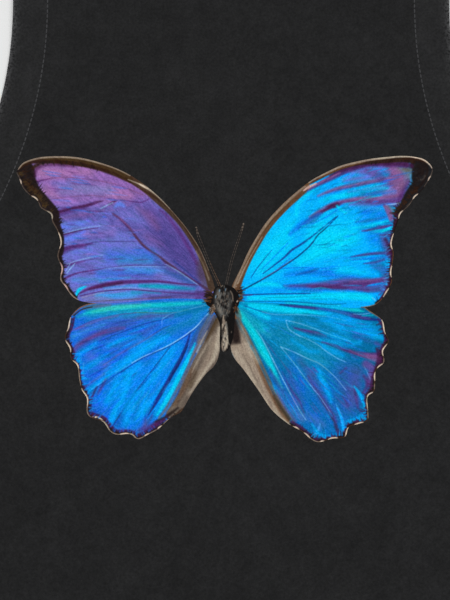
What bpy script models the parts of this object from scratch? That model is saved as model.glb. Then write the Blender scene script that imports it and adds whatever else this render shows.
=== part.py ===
"""Bib apron of cotton twill with a neck loop and two waist ties, laid flat with its front upwards.

Metres. +X runs across the apron, +Y up it towards the neck loop, and +Z is up.
The origin is on the underside, on the centre line, level with the waist corners.
"""

import math

import bmesh
import bpy
from mathutils import Vector

# The cut of the apron
BIB_WIDTH = 0.294  # between the folded edges, where the bib is narrowest
BIB_RISE = 0.040  # straight edge above the armhole curve
WAIST_WIDTH = 0.694
SKIRT_LENGTH = 0.490  # from the waist corners to the bottom edge
ARMHOLE_RADIUS = 0.280

# Cloth and hems
CLOTH_THICKNESS = 0.0008
LAYER_GAP = 0.0003  # air between two layers that lie on each other
ARMHOLE_HEM = 0.0225
SIDE_HEM = 0.012
TOP_HEM = 0.025
BOTTOM_HEM = 0.020
RAW_EDGE_INSET = 0.0006  # a turned-under edge ends this far short of the stitched line
HEM_FADE = 0.020  # beyond a hem the upper layer sinks to the floor over this distance

# Tape of the neck loop and the ties
TAPE_WIDTH = 0.025
TAPE_THICKNESS = 0.0012
TAPE_STEP = 0.010
SEWN_LENGTH = 0.028  # the tape's end that is sewn to the back of the apron
CORNER_MARGIN = 0.002  # between the neck loop's tape and the bib's side edge
TIE_DROP = 0.020  # the tie's centre line below the waist corner
NECK_LOOP_RISE = 0.190  # top of the loop's centre line above the bib
NECK_LOOP_BANK = math.radians(42)  # lean of the tape at the top of the loop
TIE_BANK = math.radians(38)  # lean of a tie in its tightest turn
TIE_TIGHT_CURVE = 1 / 0.085  # curvature at which a tie leans fully
LIFT_MARGIN = 0.018  # the cloth stays lifted this far around a sewn end
LIFT_FADE = 0.035

# Derived levels and places
ARMHOLE_TURN = math.acos(1 - (WAIST_WIDTH - BIB_WIDTH) / 2 / ARMHOLE_RADIUS)
ARMHOLE_TOP = ARMHOLE_RADIUS * math.sin(ARMHOLE_TURN)
ARMHOLE_CENTRE_X = BIB_WIDTH / 2 + ARMHOLE_RADIUS
BIB_TOP = ARMHOLE_TOP + BIB_RISE
SKIRT_BOTTOM = -SKIRT_LENGTH
LAYER_STEP = CLOTH_THICKNESS + LAYER_GAP
FOLD_RADIUS = LAYER_STEP / 2
TAPE_LIFT = TAPE_THICKNESS + LAYER_GAP
LOOP_HALF_WIDTH = BIB_WIDTH / 2 - CORNER_MARGIN - TAPE_WIDTH / 2

# Where each tie lies on the surface, from its sewn end to its tip
RIGHT_TIE_ROUTE = (
    (0.318, -0.020),
    (0.350, -0.020),
    (0.398, -0.029),
    (0.438, -0.066),
    (0.454, -0.124),
    (0.442, -0.188),
    (0.414, -0.250),
    (0.396, -0.318),
    (0.404, -0.388),
    (0.428, -0.454),
    (0.432, -0.520),
    (0.406, -0.574),
)
LEFT_TIE_ROUTE = (
    (-0.318, -0.020),
    (-0.350, -0.020),
    (-0.400, -0.032),
    (-0.440, -0.076),
    (-0.455, -0.140),
    (-0.446, -0.210),
    (-0.420, -0.276),
    (-0.398, -0.344),
    (-0.392, -0.414),
    (-0.406, -0.482),
    (-0.424, -0.540),
    (-0.430, -0.578),
)

# Soft folds in the laid cloth: from x, y to x, y, half width, height
SOFT_FOLDS = (
    (-0.300, -0.080, -0.235, -0.470, 0.060, 0.0055),
    (-0.150, -0.250, -0.085, -0.520, 0.065, 0.0040),
    (0.065, -0.170, 0.130, -0.500, 0.060, 0.0060),
    (0.265, -0.060, 0.250, -0.330, 0.055, 0.0045),
    (0.300, -0.380, 0.215, -0.520, 0.050, 0.0035),
    (-0.250, 0.045, -0.120, 0.115, 0.050, 0.0016),
    (0.120, 0.095, 0.240, 0.035, 0.050, 0.0016),
    (-0.060, 0.290, -0.020, 0.170, 0.075, 0.0010),
)

# Mesh divisions
COLUMNS_TO_HEM = 24  # across the apron between its side hems
HEM_COLUMNS = 2
SKIRT_ROWS = 28
ARMHOLE_ROWS = 18
LOOP_STEPS = 160  # fine steps along the neck loop before it is spaced evenly

ACROSS = Vector((1, 0, 0))
ALONG = Vector((0, 1, 0))
UP = Vector((0, 0, 1))


def side_edge(y):
    """Half width of the apron at this level."""
    if y >= ARMHOLE_TOP:
        return BIB_WIDTH / 2
    if y > 0:
        return ARMHOLE_CENTRE_X - math.sqrt(ARMHOLE_RADIUS**2 - (y - ARMHOLE_TOP) ** 2)
    return WAIST_WIDTH / 2


def hem_line(y):
    """Distance from the centre line to the stitched line of the side hem at this level."""
    skirt_line = WAIST_WIDTH / 2 - SIDE_HEM
    reach = ARMHOLE_RADIUS + ARMHOLE_HEM
    drop = min(y - ARMHOLE_TOP, 0)
    if drop <= -reach:
        return skirt_line
    return min(skirt_line, ARMHOLE_CENTRE_X - math.sqrt(reach**2 - drop**2))


def side_outward(y):
    """Direction square to the right side edge, pointing off the cloth."""
    if y >= ARMHOLE_TOP or y < 0:
        return 1.0, 0.0
    across = (ARMHOLE_CENTRE_X - side_edge(y)) / ARMHOLE_RADIUS
    up = (ARMHOLE_TOP - y) / ARMHOLE_RADIUS
    if y == 0:  # the waist corner, halfway between its two edges
        length = math.hypot(across + 1, up)
        return (across + 1) / length, up / length
    return across, up


def smooth(share):
    """0 up to 0, 1 from 1, and a soft step between."""
    share = min(max(share, 0.0), 1.0)
    return share * share * (3 - 2 * share)


def fold_height(x, y):
    """Height of the soft folds above the surface."""
    height = 0.0
    for x0, y0, x1, y1, half_width, rise in SOFT_FOLDS:
        run = (x1 - x0) ** 2 + (y1 - y0) ** 2
        along = min(max(((x - x0) * (x1 - x0) + (y - y0) * (y1 - y0)) / run, 0), 1)
        away = math.hypot(x - x0 - along * (x1 - x0), y - y0 - along * (y1 - y0))
        if away < half_width:
            height += rise * (1 - (away / half_width) ** 2) ** 3
    return height


def sewn_end_lift(x, y):
    """How far the cloth is lifted by the tape ends that are sewn under it."""
    x = abs(x)
    half = TAPE_WIDTH / 2
    boxes = (
        (LOOP_HALF_WIDTH - half, BIB_TOP - SEWN_LENGTH, LOOP_HALF_WIDTH + half, BIB_TOP),
        (RIGHT_TIE_ROUTE[0][0], -TIE_DROP - half, WAIST_WIDTH / 2, -TIE_DROP + half),
    )
    lift = 0.0
    for left, low, right, high in boxes:
        outside = math.hypot(max(left - x, 0, x - right), max(low - y, 0, y - high))
        lift = max(lift, smooth(1 - (outside - LIFT_MARGIN) / LIFT_FADE))
    return TAPE_LIFT * lift


def beyond_hems(x, y):
    """Distance from this point to the nearest stitched line, or 0 on a hem."""
    return max(
        0.0,
        min(hem_line(y) - abs(x), BIB_TOP - TOP_HEM - y, y - SKIRT_BOTTOM - BOTTOM_HEM),
    )


def upper_height(x, y):
    """Height of the middle of the upper layer of cloth."""
    hem = LAYER_STEP * smooth(1 - beyond_hems(x, y) / HEM_FADE)
    return CLOTH_THICKNESS / 2 + hem + fold_height(x, y) + sewn_end_lift(x, y)


def row_levels():
    """Levels of the mesh rows, from the bottom edge to the top of the bib."""
    hem_meets_side = ARMHOLE_TOP - math.sqrt(
        (ARMHOLE_RADIUS + ARMHOLE_HEM) ** 2
        - (ARMHOLE_CENTRE_X - WAIST_WIDTH / 2 + SIDE_HEM) ** 2
    )
    first = SKIRT_BOTTOM + BOTTOM_HEM
    step = (hem_meets_side - first) / SKIRT_ROWS
    levels = [SKIRT_BOTTOM, SKIRT_BOTTOM + BOTTOM_HEM / 2]
    levels += [first + step * i for i in range(SKIRT_ROWS + 1)]
    levels += [hem_meets_side / 2, 0.0]
    turns = [ARMHOLE_TURN * (1 - i / ARMHOLE_ROWS) for i in range(1, ARMHOLE_ROWS)]
    levels += [ARMHOLE_TOP - ARMHOLE_RADIUS * math.sin(turn) for turn in turns]
    levels += [ARMHOLE_TOP, BIB_TOP - TOP_HEM, BIB_TOP - TOP_HEM / 2, BIB_TOP]
    return levels


def column_places(y):
    """Places of the mesh columns at one level, from the left edge to the right edge."""
    edge, line = side_edge(y), hem_line(y)
    hem = [edge + (line - edge) * i / HEM_COLUMNS for i in range(HEM_COLUMNS)]
    body = [line * (2 * i / COLUMNS_TO_HEM - 1) for i in range(COLUMNS_TO_HEM + 1)]
    return [-x for x in hem] + body + hem[::-1]


def extrude_rim(bm, rim, places):
    """Extrudes a chain of boundary vertices and carries the new ones to the given places."""
    links = set(zip(rim, rim[1:])) | set(zip(rim[1:], rim))
    chain = {v: i for i, v in enumerate(rim)}
    edges = {
        e for v in rim for e in v.link_edges if tuple(e.verts) in links and e.is_boundary
    }
    grown = bmesh.ops.extrude_edge_only(bm, edges=list(edges))["geom"]
    new = [v for v in grown if isinstance(v, bmesh.types.BMVert)]
    found = [None] * len(rim)
    for v in new:
        for e in v.link_edges:
            other = e.other_vert(v)
            if other in chain:
                found[chain[other]] = v
    for v, place in zip(found, places):
        v.co = place
    return found


def turn_under(bm, rim, outward, inner_rows):
    """Folds a hem: round the rim, then back under the rows of vertices that it lies below."""
    tip = [
        v.co + FOLD_RADIUS * o.to_3d() - LAYER_STEP / 2 * UP for v, o in zip(rim, outward)
    ]
    under = [v.co - LAYER_STEP * UP for v in rim]
    chain = extrude_rim(bm, extrude_rim(bm, rim, tip), under)
    for row in inner_rows:
        chain = extrude_rim(bm, chain, [place - LAYER_STEP * UP for place in row])


def build_apron(collection):
    """The apron: one piece of cloth with its edges folded under."""
    levels = row_levels()
    columns = COLUMNS_TO_HEM + 2 * HEM_COLUMNS
    bm = bmesh.new()
    bmesh.ops.create_grid(bm, x_segments=columns, y_segments=len(levels) - 1, size=1)
    net = {}
    for v in bm.verts:
        column = round((v.co.x + 1) / 2 * columns)
        row = round((v.co.y + 1) / 2 * (len(levels) - 1))
        y = levels[row]
        x = column_places(y)[column]
        v.co = (x, y, upper_height(x, y))
        net[column, row] = v

    rows = range(len(levels))
    for side, edge_column in ((-1, 0), (1, columns)):
        outward = [Vector((side * side_outward(y)[0], side_outward(y)[1])) for y in levels]
        inner = []
        for i in range(1, HEM_COLUMNS + 1):
            column = edge_column - side * i
            inset = RAW_EDGE_INSET if i == HEM_COLUMNS else 0
            inner.append([net[column, r].co + side * inset * ACROSS for r in rows])
        turn_under(bm, [net[edge_column, r] for r in rows], outward, inner)

    between = range(HEM_COLUMNS, columns - HEM_COLUMNS + 1)
    top = len(levels) - 1
    for edge_row, step, out in ((0, 1, -1), (top, -1, 1)):
        outward = [Vector((0, out))] * len(between)
        inner = []
        for i in (1, 2):
            inset = RAW_EDGE_INSET if i == 2 else 0
            row = [net[c, edge_row + step * i].co + out * inset * ALONG for c in between]
            inner.append(row)
        turn_under(bm, [net[c, edge_row] for c in between], outward, inner)

    bmesh.ops.recalc_face_normals(bm, faces=bm.faces)
    return add_sheet("apron_body", bm, CLOTH_THICKNESS, collection)


def add_sheet(name, bm, thickness, collection):
    """Makes an object of an open surface and gives it its thickness, half to each side."""
    mesh = bpy.data.meshes.new(name)
    bm.to_mesh(mesh)
    bm.free()
    mesh.shade_smooth()
    sheet = bpy.data.objects.new(name, mesh)
    collection.objects.link(sheet)
    solidify = sheet.modifiers.new("thickness", "SOLIDIFY")
    solidify.thickness = thickness
    solidify.offset = 0
    solidify.use_even_offset = True
    return sheet


def smooth_route(points):
    """Fine points on a soft curve through the given ones."""
    padded = [points[0], *points, points[-1]]
    fine = []
    for a, b, c, d in zip(padded, padded[1:], padded[2:], padded[3:]):
        for i in range(12):
            t = i / 12
            fine.append(
                tuple(
                    0.5
                    * (
                        2 * b[k]
                        + (c[k] - a[k]) * t
                        + (2 * a[k] - 5 * b[k] + 4 * c[k] - d[k]) * t**2
                        + (3 * b[k] - a[k] - 3 * c[k] + d[k]) * t**3
                    )
                    for k in (0, 1)
                )
            )
    return fine + [points[-1]]


def evenly_spaced(points, step):
    """The same line with points about one step apart."""
    lengths = [math.dist(a, b) for a, b in zip(points, points[1:])]
    count = max(2, round(sum(lengths) / step))
    spaced, gone, i = [], 0.0, 0
    for n in range(count + 1):
        target = sum(lengths) * n / count
        while i < len(lengths) - 1 and gone + lengths[i] < target:
            gone += lengths[i]
            i += 1
        share = min((target - gone) / lengths[i], 1)
        a, b = points[i], points[i + 1]
        spaced.append(Vector((a[0] + (b[0] - a[0]) * share, a[1] + (b[1] - a[1]) * share)))
    return spaced


def headings(line):
    """Unit direction of travel at each point."""
    last = len(line) - 1
    return [(line[min(i + 1, last)] - line[max(i - 1, 0)]).normalized() for i in range(last + 1)]


def curve_banks(line):
    """Lean of a tie at each point: it leans outwards where it turns, and lies flat where it is straight."""
    ways = headings(line)
    last = len(line) - 1
    bends = []
    for i in range(last + 1):
        before, after = ways[max(i - 1, 0)], ways[min(i + 1, last)]
        bends.append(before.angle_signed(after, 0) / (2 * TAPE_STEP) / TIE_TIGHT_CURVE)
    banks = []
    for i in range(last + 1):
        near = bends[max(i - 3, 0) : i + 4]
        mean = sum(near) / len(near)
        free = smooth((i * TAPE_STEP - 2 * SEWN_LENGTH) / 0.05)
        tip = smooth((last - i) * TAPE_STEP / 0.06)
        banks.append(TIE_BANK * max(-1, min(1, mean)) * free * tip)
    return banks


def build_tape(name, line, banks, collection):
    """A flat tape along a line on the surface, leaning by the bank at each point."""
    bm = bmesh.new()
    bmesh.ops.create_grid(bm, x_segments=1, y_segments=len(line) - 1, size=1)
    ways = headings(line)
    for v in bm.verts:
        i = round((v.co.y + 1) / 2 * (len(line) - 1))
        half = math.copysign(TAPE_WIDTH / 2, v.co.x)
        lean = banks[i]
        square = Vector((ways[i].y, -ways[i].x))
        flat = line[i] + half * math.cos(lean) * square
        rest = TAPE_WIDTH / 2 * abs(math.sin(lean)) + TAPE_THICKNESS / 2 * math.cos(lean)
        v.co = (flat.x, flat.y, rest + half * math.sin(lean))
    return add_sheet(name, bm, TAPE_THICKNESS, collection)


def neck_loop_line():
    """The loop: up from both corners of the bib and over in half an ellipse."""
    arch = []
    for i in range(LOOP_STEPS + 1):
        turn = math.pi * i / LOOP_STEPS
        arch.append(
            (LOOP_HALF_WIDTH * math.cos(turn), BIB_TOP + NECK_LOOP_RISE * math.sin(turn))
        )
    sewn = BIB_TOP - SEWN_LENGTH
    ends = [(LOOP_HALF_WIDTH, sewn)], [(-LOOP_HALF_WIDTH, sewn)]
    return evenly_spaced(ends[0] + arch + ends[1], TAPE_STEP)


def neck_loop_banks(line):
    """The loop lies flat beside the bib and leans more towards its top."""
    return [
        -NECK_LOOP_BANK * smooth((point.y - BIB_TOP - 0.02) / (NECK_LOOP_RISE - 0.02))
        for point in line
    ]


def fabric(name, colour, roughness):
    """A plain woven cotton."""
    material = bpy.data.materials.new(name)
    material.use_nodes = True
    surface = material.node_tree.nodes["Principled BSDF"]
    surface.inputs["Base Color"].default_value = (*colour, 1)
    surface.inputs["Roughness"].default_value = roughness
    surface.inputs["Metallic"].default_value = 0
    return material


def main():
    for old in list(bpy.data.objects):
        bpy.data.objects.remove(old)
    collection = bpy.data.collections.new("bib_apron")
    bpy.context.scene.collection.children.link(collection)

    apron = build_apron(collection)
    loop_line = neck_loop_line()
    tapes = [build_tape("neck_loop", loop_line, neck_loop_banks(loop_line), collection)]
    for name, route in (
        ("waist_tie_left", LEFT_TIE_ROUTE),
        ("waist_tie_right", RIGHT_TIE_ROUTE),
    ):
        line = evenly_spaced(smooth_route(route), TAPE_STEP)
        tapes.append(build_tape(name, line, curve_banks(line), collection))

    apron.data.materials.append(fabric("charcoal_twill", (0.017, 0.017, 0.018), 0.9))
    tape_cotton = fabric("black_tape", (0.012, 0.012, 0.013), 0.85)
    for tape in tapes:
        tape.data.materials.append(tape_cotton)


main()
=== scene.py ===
# %% [markdown]
# The object is a bib apron of charcoal cotton twill, laid flat with its front upwards. Its bib carries
# a large printed butterfly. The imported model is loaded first, as a fixed frame. Everything that is made
# below is placed in that frame, in metres: +X runs across the apron, +Y up it towards the neck loop,
# and +Z points up out of the cloth.

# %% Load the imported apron
import math

import bmesh
import bpy
import numpy as np
from mathutils import Matrix, Vector


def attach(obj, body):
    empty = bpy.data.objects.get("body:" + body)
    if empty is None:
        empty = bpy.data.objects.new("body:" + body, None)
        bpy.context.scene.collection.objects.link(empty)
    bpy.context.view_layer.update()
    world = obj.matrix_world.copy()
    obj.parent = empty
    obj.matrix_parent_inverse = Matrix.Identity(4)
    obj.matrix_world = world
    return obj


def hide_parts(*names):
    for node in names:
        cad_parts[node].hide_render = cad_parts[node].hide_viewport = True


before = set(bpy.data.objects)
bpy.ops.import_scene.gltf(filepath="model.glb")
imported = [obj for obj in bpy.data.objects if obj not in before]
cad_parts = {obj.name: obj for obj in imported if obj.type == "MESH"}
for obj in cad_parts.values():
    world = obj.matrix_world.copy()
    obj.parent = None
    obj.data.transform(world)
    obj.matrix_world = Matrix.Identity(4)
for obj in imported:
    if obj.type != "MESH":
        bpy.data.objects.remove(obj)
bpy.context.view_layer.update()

# %% [markdown]
# The sizes of the cut come next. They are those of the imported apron, so that the finer cloth made here
# lies exactly where the plain one does. The two armholes are arcs, and every edge is a folded hem.

# %% Sizes of the cut
BIB_WIDTH = 0.294
WAIST_WIDTH = 0.694
SKIRT_LENGTH = 0.490
BIB_RISE = 0.040
ARMHOLE_RADIUS = 0.280
CLOTH_THICKNESS = 0.0008
LAYER_STEP = 0.0011
ARMHOLE_HEM = 0.0225
SIDE_HEM = 0.012
TOP_HEM = 0.025
BOTTOM_HEM = 0.020
HEM_FADE = 0.020
TAPE_WIDTH = 0.025
TAPE_THICKNESS = 0.0012
SEWN_LENGTH = 0.028
TIE_DROP = 0.020
TIE_INNER = 0.318
LOOP_MARGIN = 0.002
TAPE_GAP = 0.0003

ARMHOLE_TURN = math.acos(1 - (WAIST_WIDTH - BIB_WIDTH) / 2 / ARMHOLE_RADIUS)
ARMHOLE_TOP = ARMHOLE_RADIUS * math.sin(ARMHOLE_TURN)
ARMHOLE_CENTRE_X = BIB_WIDTH / 2 + ARMHOLE_RADIUS
BIB_TOP = ARMHOLE_TOP + BIB_RISE
SKIRT_BOTTOM = -SKIRT_LENGTH
LOOP_HALF_WIDTH = BIB_WIDTH / 2 - LOOP_MARGIN - TAPE_WIDTH / 2
print(f"The bib's top edge is at {BIB_TOP:.4f} m and the skirt's bottom edge at {SKIRT_BOTTOM:.4f} m")

# %% [markdown]
# The photo looks straight down on the bib, with no perspective to speak of. A long lens high above the
# cloth gives the same view. One pixel of the photo is taken to cover 0.68 mm of cloth, which is an
# estimate, and the apron's centre line runs down pixel column 231. The two turn any pixel into a place
# on the cloth.

# %% Camera above the bib
PIXEL = 0.00068
PHOTO_SIZE = (450, 600)
CENTRE_LINE_PIXEL = 231
CAMERA_HEIGHT = 1.9
SENSOR = 36.0


def on_cloth(px, py):
    """Turns photo pixels into metres on the cloth."""
    return (px - CENTRE_LINE_PIXEL) * PIXEL, ARMHOLE_TOP - py * PIXEL


def make_camera():
    data = bpy.data.cameras.new("photo_camera")
    data.sensor_width = SENSOR
    data.lens = SENSOR * CAMERA_HEIGHT / (PHOTO_SIZE[1] * PIXEL)
    camera = bpy.data.objects.new("photo_camera", data)
    x, y = on_cloth(PHOTO_SIZE[0] / 2, PHOTO_SIZE[1] / 2)
    camera.location = (x, y, CAMERA_HEIGHT)
    bpy.context.scene.collection.objects.link(camera)
    bpy.context.scene.camera = camera
    return camera


camera = make_camera()
print(f"The lens is {camera.data.lens:.0f} mm long")

# %% [markdown]
# A plain pale floor and soft studio light keep the attention on the cloth. One wide lamp stands up and
# to the left, so that the weave and the puckers of the hems get a lit and a shaded side, and a weaker
# one fills from the right. The world adds an even glow.

# %% Floor and light
FLOOR_HALF = 30.0
FLOOR_DROP = 0.0003


def principled(name, colour, roughness, specular=0.5):
    """A new material with its Principled shader set, and the tree to build on."""
    material = bpy.data.materials.new(name)
    material.use_nodes = True
    surface = material.node_tree.nodes["Principled BSDF"]
    surface.inputs["Base Color"].default_value = (*colour, 1)
    surface.inputs["Roughness"].default_value = roughness
    surface.inputs["Specular IOR Level"].default_value = specular
    return material, material.node_tree, surface


def link_object(name, mesh, *materials):
    made = bpy.data.objects.new(name, mesh)
    bpy.context.scene.collection.objects.link(made)
    for material in materials:
        mesh.materials.append(material)
    return made


def make_floor():
    bm = bmesh.new()
    bmesh.ops.create_grid(bm, x_segments=1, y_segments=1, size=FLOOR_HALF)
    bmesh.ops.translate(bm, verts=bm.verts, vec=(0, 0, -FLOOR_DROP))
    mesh = bpy.data.meshes.new("floor")
    bm.to_mesh(mesh)
    bm.free()
    material, _, _ = principled("floor_paper", (0.78, 0.78, 0.77), 0.8, 0.2)
    floor = link_object("floor", mesh, material)


def make_lamp(name, place, target, size, power):
    data = bpy.data.lights.new(name, "AREA")
    data.shape = "DISK"
    data.size = size
    data.energy = power
    lamp = bpy.data.objects.new(name, data)
    lamp.location = place
    lamp.rotation_mode = "QUATERNION"
    lamp.rotation_quaternion = (Vector(target) - Vector(place)).to_track_quat("-Z", "Y")
    bpy.context.scene.collection.objects.link(lamp)


def make_world(brightness):
    world = bpy.data.worlds.new("studio")
    world.use_nodes = True
    background = world.node_tree.nodes["Background"]
    background.inputs["Color"].default_value = (0.95, 0.97, 1.0, 1)
    background.inputs["Strength"].default_value = brightness
    bpy.context.scene.world = world


make_floor()
make_lamp("key_lamp", (-1.4, 1.9, 3.6), (0, 0, 0), 2.2, 106)
make_lamp("fill_lamp", (2.0, 0.4, 3.2), (0, 0, 0), 2.4, 39)
make_world(0.335)
bpy.context.scene.view_settings.view_transform = "Standard"
print("Floor, two lamps and the world are in place")

# %% [markdown]
# Cloth that is stitched never lies quite flat. Each row of stitches pulls the layers together, and the
# cloth beside it rises in small puckers. The functions below give the height of the cloth anywhere on
# it: the hems' second layer, the soft folds of the skirt, the puckers, and the tapes sewn underneath.
# The print and the stitches are laid on the same surface later, so they all agree.

# %% Height of the cloth
SOFT_FOLDS = (  # from x, y to x, y, half width, height
    (-0.300, -0.080, -0.235, -0.470, 0.060, 0.0055),
    (-0.150, -0.250, -0.085, -0.520, 0.065, 0.0040),
    (0.065, -0.170, 0.130, -0.500, 0.060, 0.0060),
    (0.265, -0.060, 0.250, -0.330, 0.055, 0.0045),
    (0.300, -0.380, 0.215, -0.520, 0.050, 0.0035),
    (-0.250, 0.045, -0.120, 0.115, 0.050, 0.0016),
    (0.120, 0.095, 0.240, 0.035, 0.050, 0.0016),
    (-0.060, 0.290, -0.020, 0.170, 0.075, 0.0010),
)
CREASES = (  # small sharp wrinkles in the armhole hems, in photo pixels
    (5, 96, 11, 114, 1.9, 0.00032),
    (12, 62, 20, 70, 1.6, 0.00016),
    (426, 46, 434, 63, 1.8, 0.00022),
    (436, 84, 446, 92, 1.6, 0.00018),
    (22, 118, 8, 132, 1.8, 0.00018),
)


GATHER_WAVE = 0.0092
GATHER_DRIFT = 0.061
SECOND_WAVE = 0.0147
SIDE_SHIFT = 0.031  # so that the two sides don't pucker alike
PUCKER_IN_HEM = 0.0095
PUCKER_IN_CLOTH = 0.0050
PUCKER_RISE = 0.00017
PUCKER_CHANGE = 0.00011
STITCH_GROOVE = 0.0011
LIFT_REACH = 0.018
LIFT_FADE = 0.035


def smooth(share):
    share = np.clip(share, 0, 1)
    return share * share * (3 - 2 * share)


def inwards(x, y, hem, side_hem, top_hem, bottom_hem):
    """Distances in from the lines this far inside the armhole, side, top and bottom edges."""
    across = ARMHOLE_CENTRE_X - np.abs(x)
    below = ARMHOLE_TOP - y
    curve = np.hypot(across, below) - ARMHOLE_RADIUS - hem
    upper = np.where(below > 0, curve, BIB_WIDTH / 2 - hem - np.abs(x))
    skirt = WAIST_WIDTH / 2 - side_hem - np.abs(x)
    return upper, skirt, BIB_TOP - top_hem - y, y - SKIRT_BOTTOM - bottom_hem


def from_seams(x, y):
    return inwards(x, y, ARMHOLE_HEM, SIDE_HEM, TOP_HEM, BOTTOM_HEM)


def from_edges(x, y):
    return np.minimum.reduce(inwards(x, y, 0, 0, 0, 0))


def ripple(along):
    """Uneven waves, from -1 to 1, as stitches gather the cloth."""
    first = np.sin(2 * np.pi * along / GATHER_WAVE + 1.9 * np.sin(2 * np.pi * along / GATHER_DRIFT))
    second = np.sin(2 * np.pi * along / SECOND_WAVE + 1.3)
    return 0.6 * first + 0.4 * second


def puckers(x, y):
    upper, skirt, top, bottom = from_seams(x, y)
    turn = np.arctan2(ARMHOLE_TOP - y, ARMHOLE_CENTRE_X - np.abs(x))
    shift = np.where(x > 0, SIDE_SHIFT, 0.0)
    on_curve = (upper < skirt) & (y < ARMHOLE_TOP)
    along_side = np.where(on_curve, ARMHOLE_RADIUS * turn, y) + shift
    height = 0
    for away, along in ((np.minimum(upper, skirt), along_side), (top, x), (bottom, x)):
        spread = np.where(away < 0, PUCKER_IN_HEM, PUCKER_IN_CLOTH)
        rise = PUCKER_RISE + PUCKER_CHANGE * ripple(along)
        groove = 1 - np.exp(-((away / STITCH_GROOVE) ** 2))
        height = np.maximum(height, rise * np.exp(-((away / spread) ** 2)) * groove)
    return height


def ridge(x, y, x0, y0, x1, y1, half_width):
    """Rises from 0 to 1 towards the line between two points."""
    run = (x1 - x0) ** 2 + (y1 - y0) ** 2
    along = np.clip(((x - x0) * (x1 - x0) + (y - y0) * (y1 - y0)) / run, 0, 1)
    away = np.hypot(x - x0 - along * (x1 - x0), y - y0 - along * (y1 - y0))
    return np.clip(1 - (away / half_width) ** 2, 0, None) ** 3


def folds(x, y):
    height = sum(rise * ridge(x, y, *line) for *line, rise in SOFT_FOLDS)
    for px0, py0, px1, py1, width, rise in CREASES:
        line = (*on_cloth(px0, py0), *on_cloth(px1, py1))
        height = height + rise * ridge(x, y, *line, width * PIXEL)
    return height


def sewn_end_lift(x, y):
    half = TAPE_WIDTH / 2
    ends = (
        (LOOP_HALF_WIDTH - half, BIB_TOP - SEWN_LENGTH, LOOP_HALF_WIDTH + half, BIB_TOP),
        (TIE_INNER, -TIE_DROP - half, WAIST_WIDTH / 2, -TIE_DROP + half),
    )
    lift = 0
    for left, low, right, high in ends:
        aside = np.maximum(np.maximum(left - np.abs(x), np.abs(x) - right), 0)
        outside = np.hypot(aside, np.maximum(np.maximum(low - y, y - high), 0))
        lift = np.maximum(lift, smooth(1 - (outside - LIFT_REACH) / LIFT_FADE))
    return (TAPE_THICKNESS + TAPE_GAP) * lift


def cloth_middle(x, y):
    """Height of the middle of the upper layer."""
    beyond = np.clip(np.minimum.reduce(from_seams(x, y)), 0, None)
    hem = LAYER_STEP * smooth(1 - beyond / HEM_FADE)
    return CLOTH_THICKNESS / 2 + hem + folds(x, y) + sewn_end_lift(x, y) + puckers(x, y)


def cloth_top(x, y):
    return cloth_middle(x, y) + CLOTH_THICKNESS / 2


print("Cloth height at the middle of the print:", round(float(cloth_top(-0.004, 0.066)) * 1000, 3), "mm")

# %% [markdown]
# The cloth is one net of points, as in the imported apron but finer, with its rows and columns drawn
# close together beside the stitched lines, where the puckers are. A grid from bmesh is carried onto the
# cut, its rim is extruded round and under for each hem, and Solidify gives the thickness.

# %% The net of the cloth
HEM_SHARES = (0, 0.03, 0.12, 0.28, 0.46, 0.64, 0.78, 0.89, 0.96)
BESIDE_SEAM = (0, 0.001, 0.0025, 0.0045, 0.0075, 0.012)
MIDDLE_COLUMNS = 62
ARMHOLE_ROWS = 212
SKIRT_STEP = 0.0042
RAW_EDGE_OVERLAP = 0.0012
END_HEM_ROWS = 7
EDGE_WEAR = 0.0014


def side_edge(y):
    if y >= ARMHOLE_TOP:
        return BIB_WIDTH / 2
    if y > 0:
        return ARMHOLE_CENTRE_X - math.sqrt(ARMHOLE_RADIUS**2 - (y - ARMHOLE_TOP) ** 2)
    return WAIST_WIDTH / 2


def hem_line(y):
    line = WAIST_WIDTH / 2 - SIDE_HEM
    reach = ARMHOLE_RADIUS + ARMHOLE_HEM
    drop = min(y - ARMHOLE_TOP, 0)
    if drop <= -reach:
        return line
    return min(line, ARMHOLE_CENTRE_X - math.sqrt(reach**2 - drop**2))


def side_outward(y):
    """Direction square to the right side edge, pointing off the cloth."""
    if y >= ARMHOLE_TOP or y < 0:
        return Vector((1, 0))
    across = (ARMHOLE_CENTRE_X - side_edge(y)) / ARMHOLE_RADIUS
    up = (ARMHOLE_TOP - y) / ARMHOLE_RADIUS
    return Vector((across + 1, up) if y == 0 else (across, up)).normalized()


def row_levels():
    low = [SKIRT_BOTTOM + BOTTOM_HEM * share for share in (0, 0.03, 0.2, 0.45, 0.7, 0.88, 0.96, 1)]
    low += [low[-1] + rise for rise in BESIDE_SEAM[1:]]
    steps = math.ceil(-low[-1] / SKIRT_STEP)
    low += [low[-1] * (1 - i / steps) for i in range(1, steps + 1)]
    turns = [ARMHOLE_TURN * (1 - i / ARMHOLE_ROWS) for i in range(1, ARMHOLE_ROWS + 1)]
    curve = [ARMHOLE_TOP - ARMHOLE_RADIUS * math.sin(turn) for turn in turns]
    seam = BIB_TOP - TOP_HEM
    high = [seam - drop for drop in BESIDE_SEAM[:0:-1]]
    high += [seam + TOP_HEM * share for share in (0, 0.04, 0.12, 0.3, 0.55, 0.8, 0.97, 1)]
    return low + curve + high


def column_places(y):
    edge, line = side_edge(y), hem_line(y)
    hem = [edge + (line - edge) * share for share in HEM_SHARES]
    near = [line - step for step in BESIDE_SEAM]
    rest = [near[-1] * (1 - 2 * i / MIDDLE_COLUMNS) for i in range(1, MIDDLE_COLUMNS)]
    return [-x for x in hem + near] + [-x for x in rest] + (hem + near)[::-1]


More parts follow.
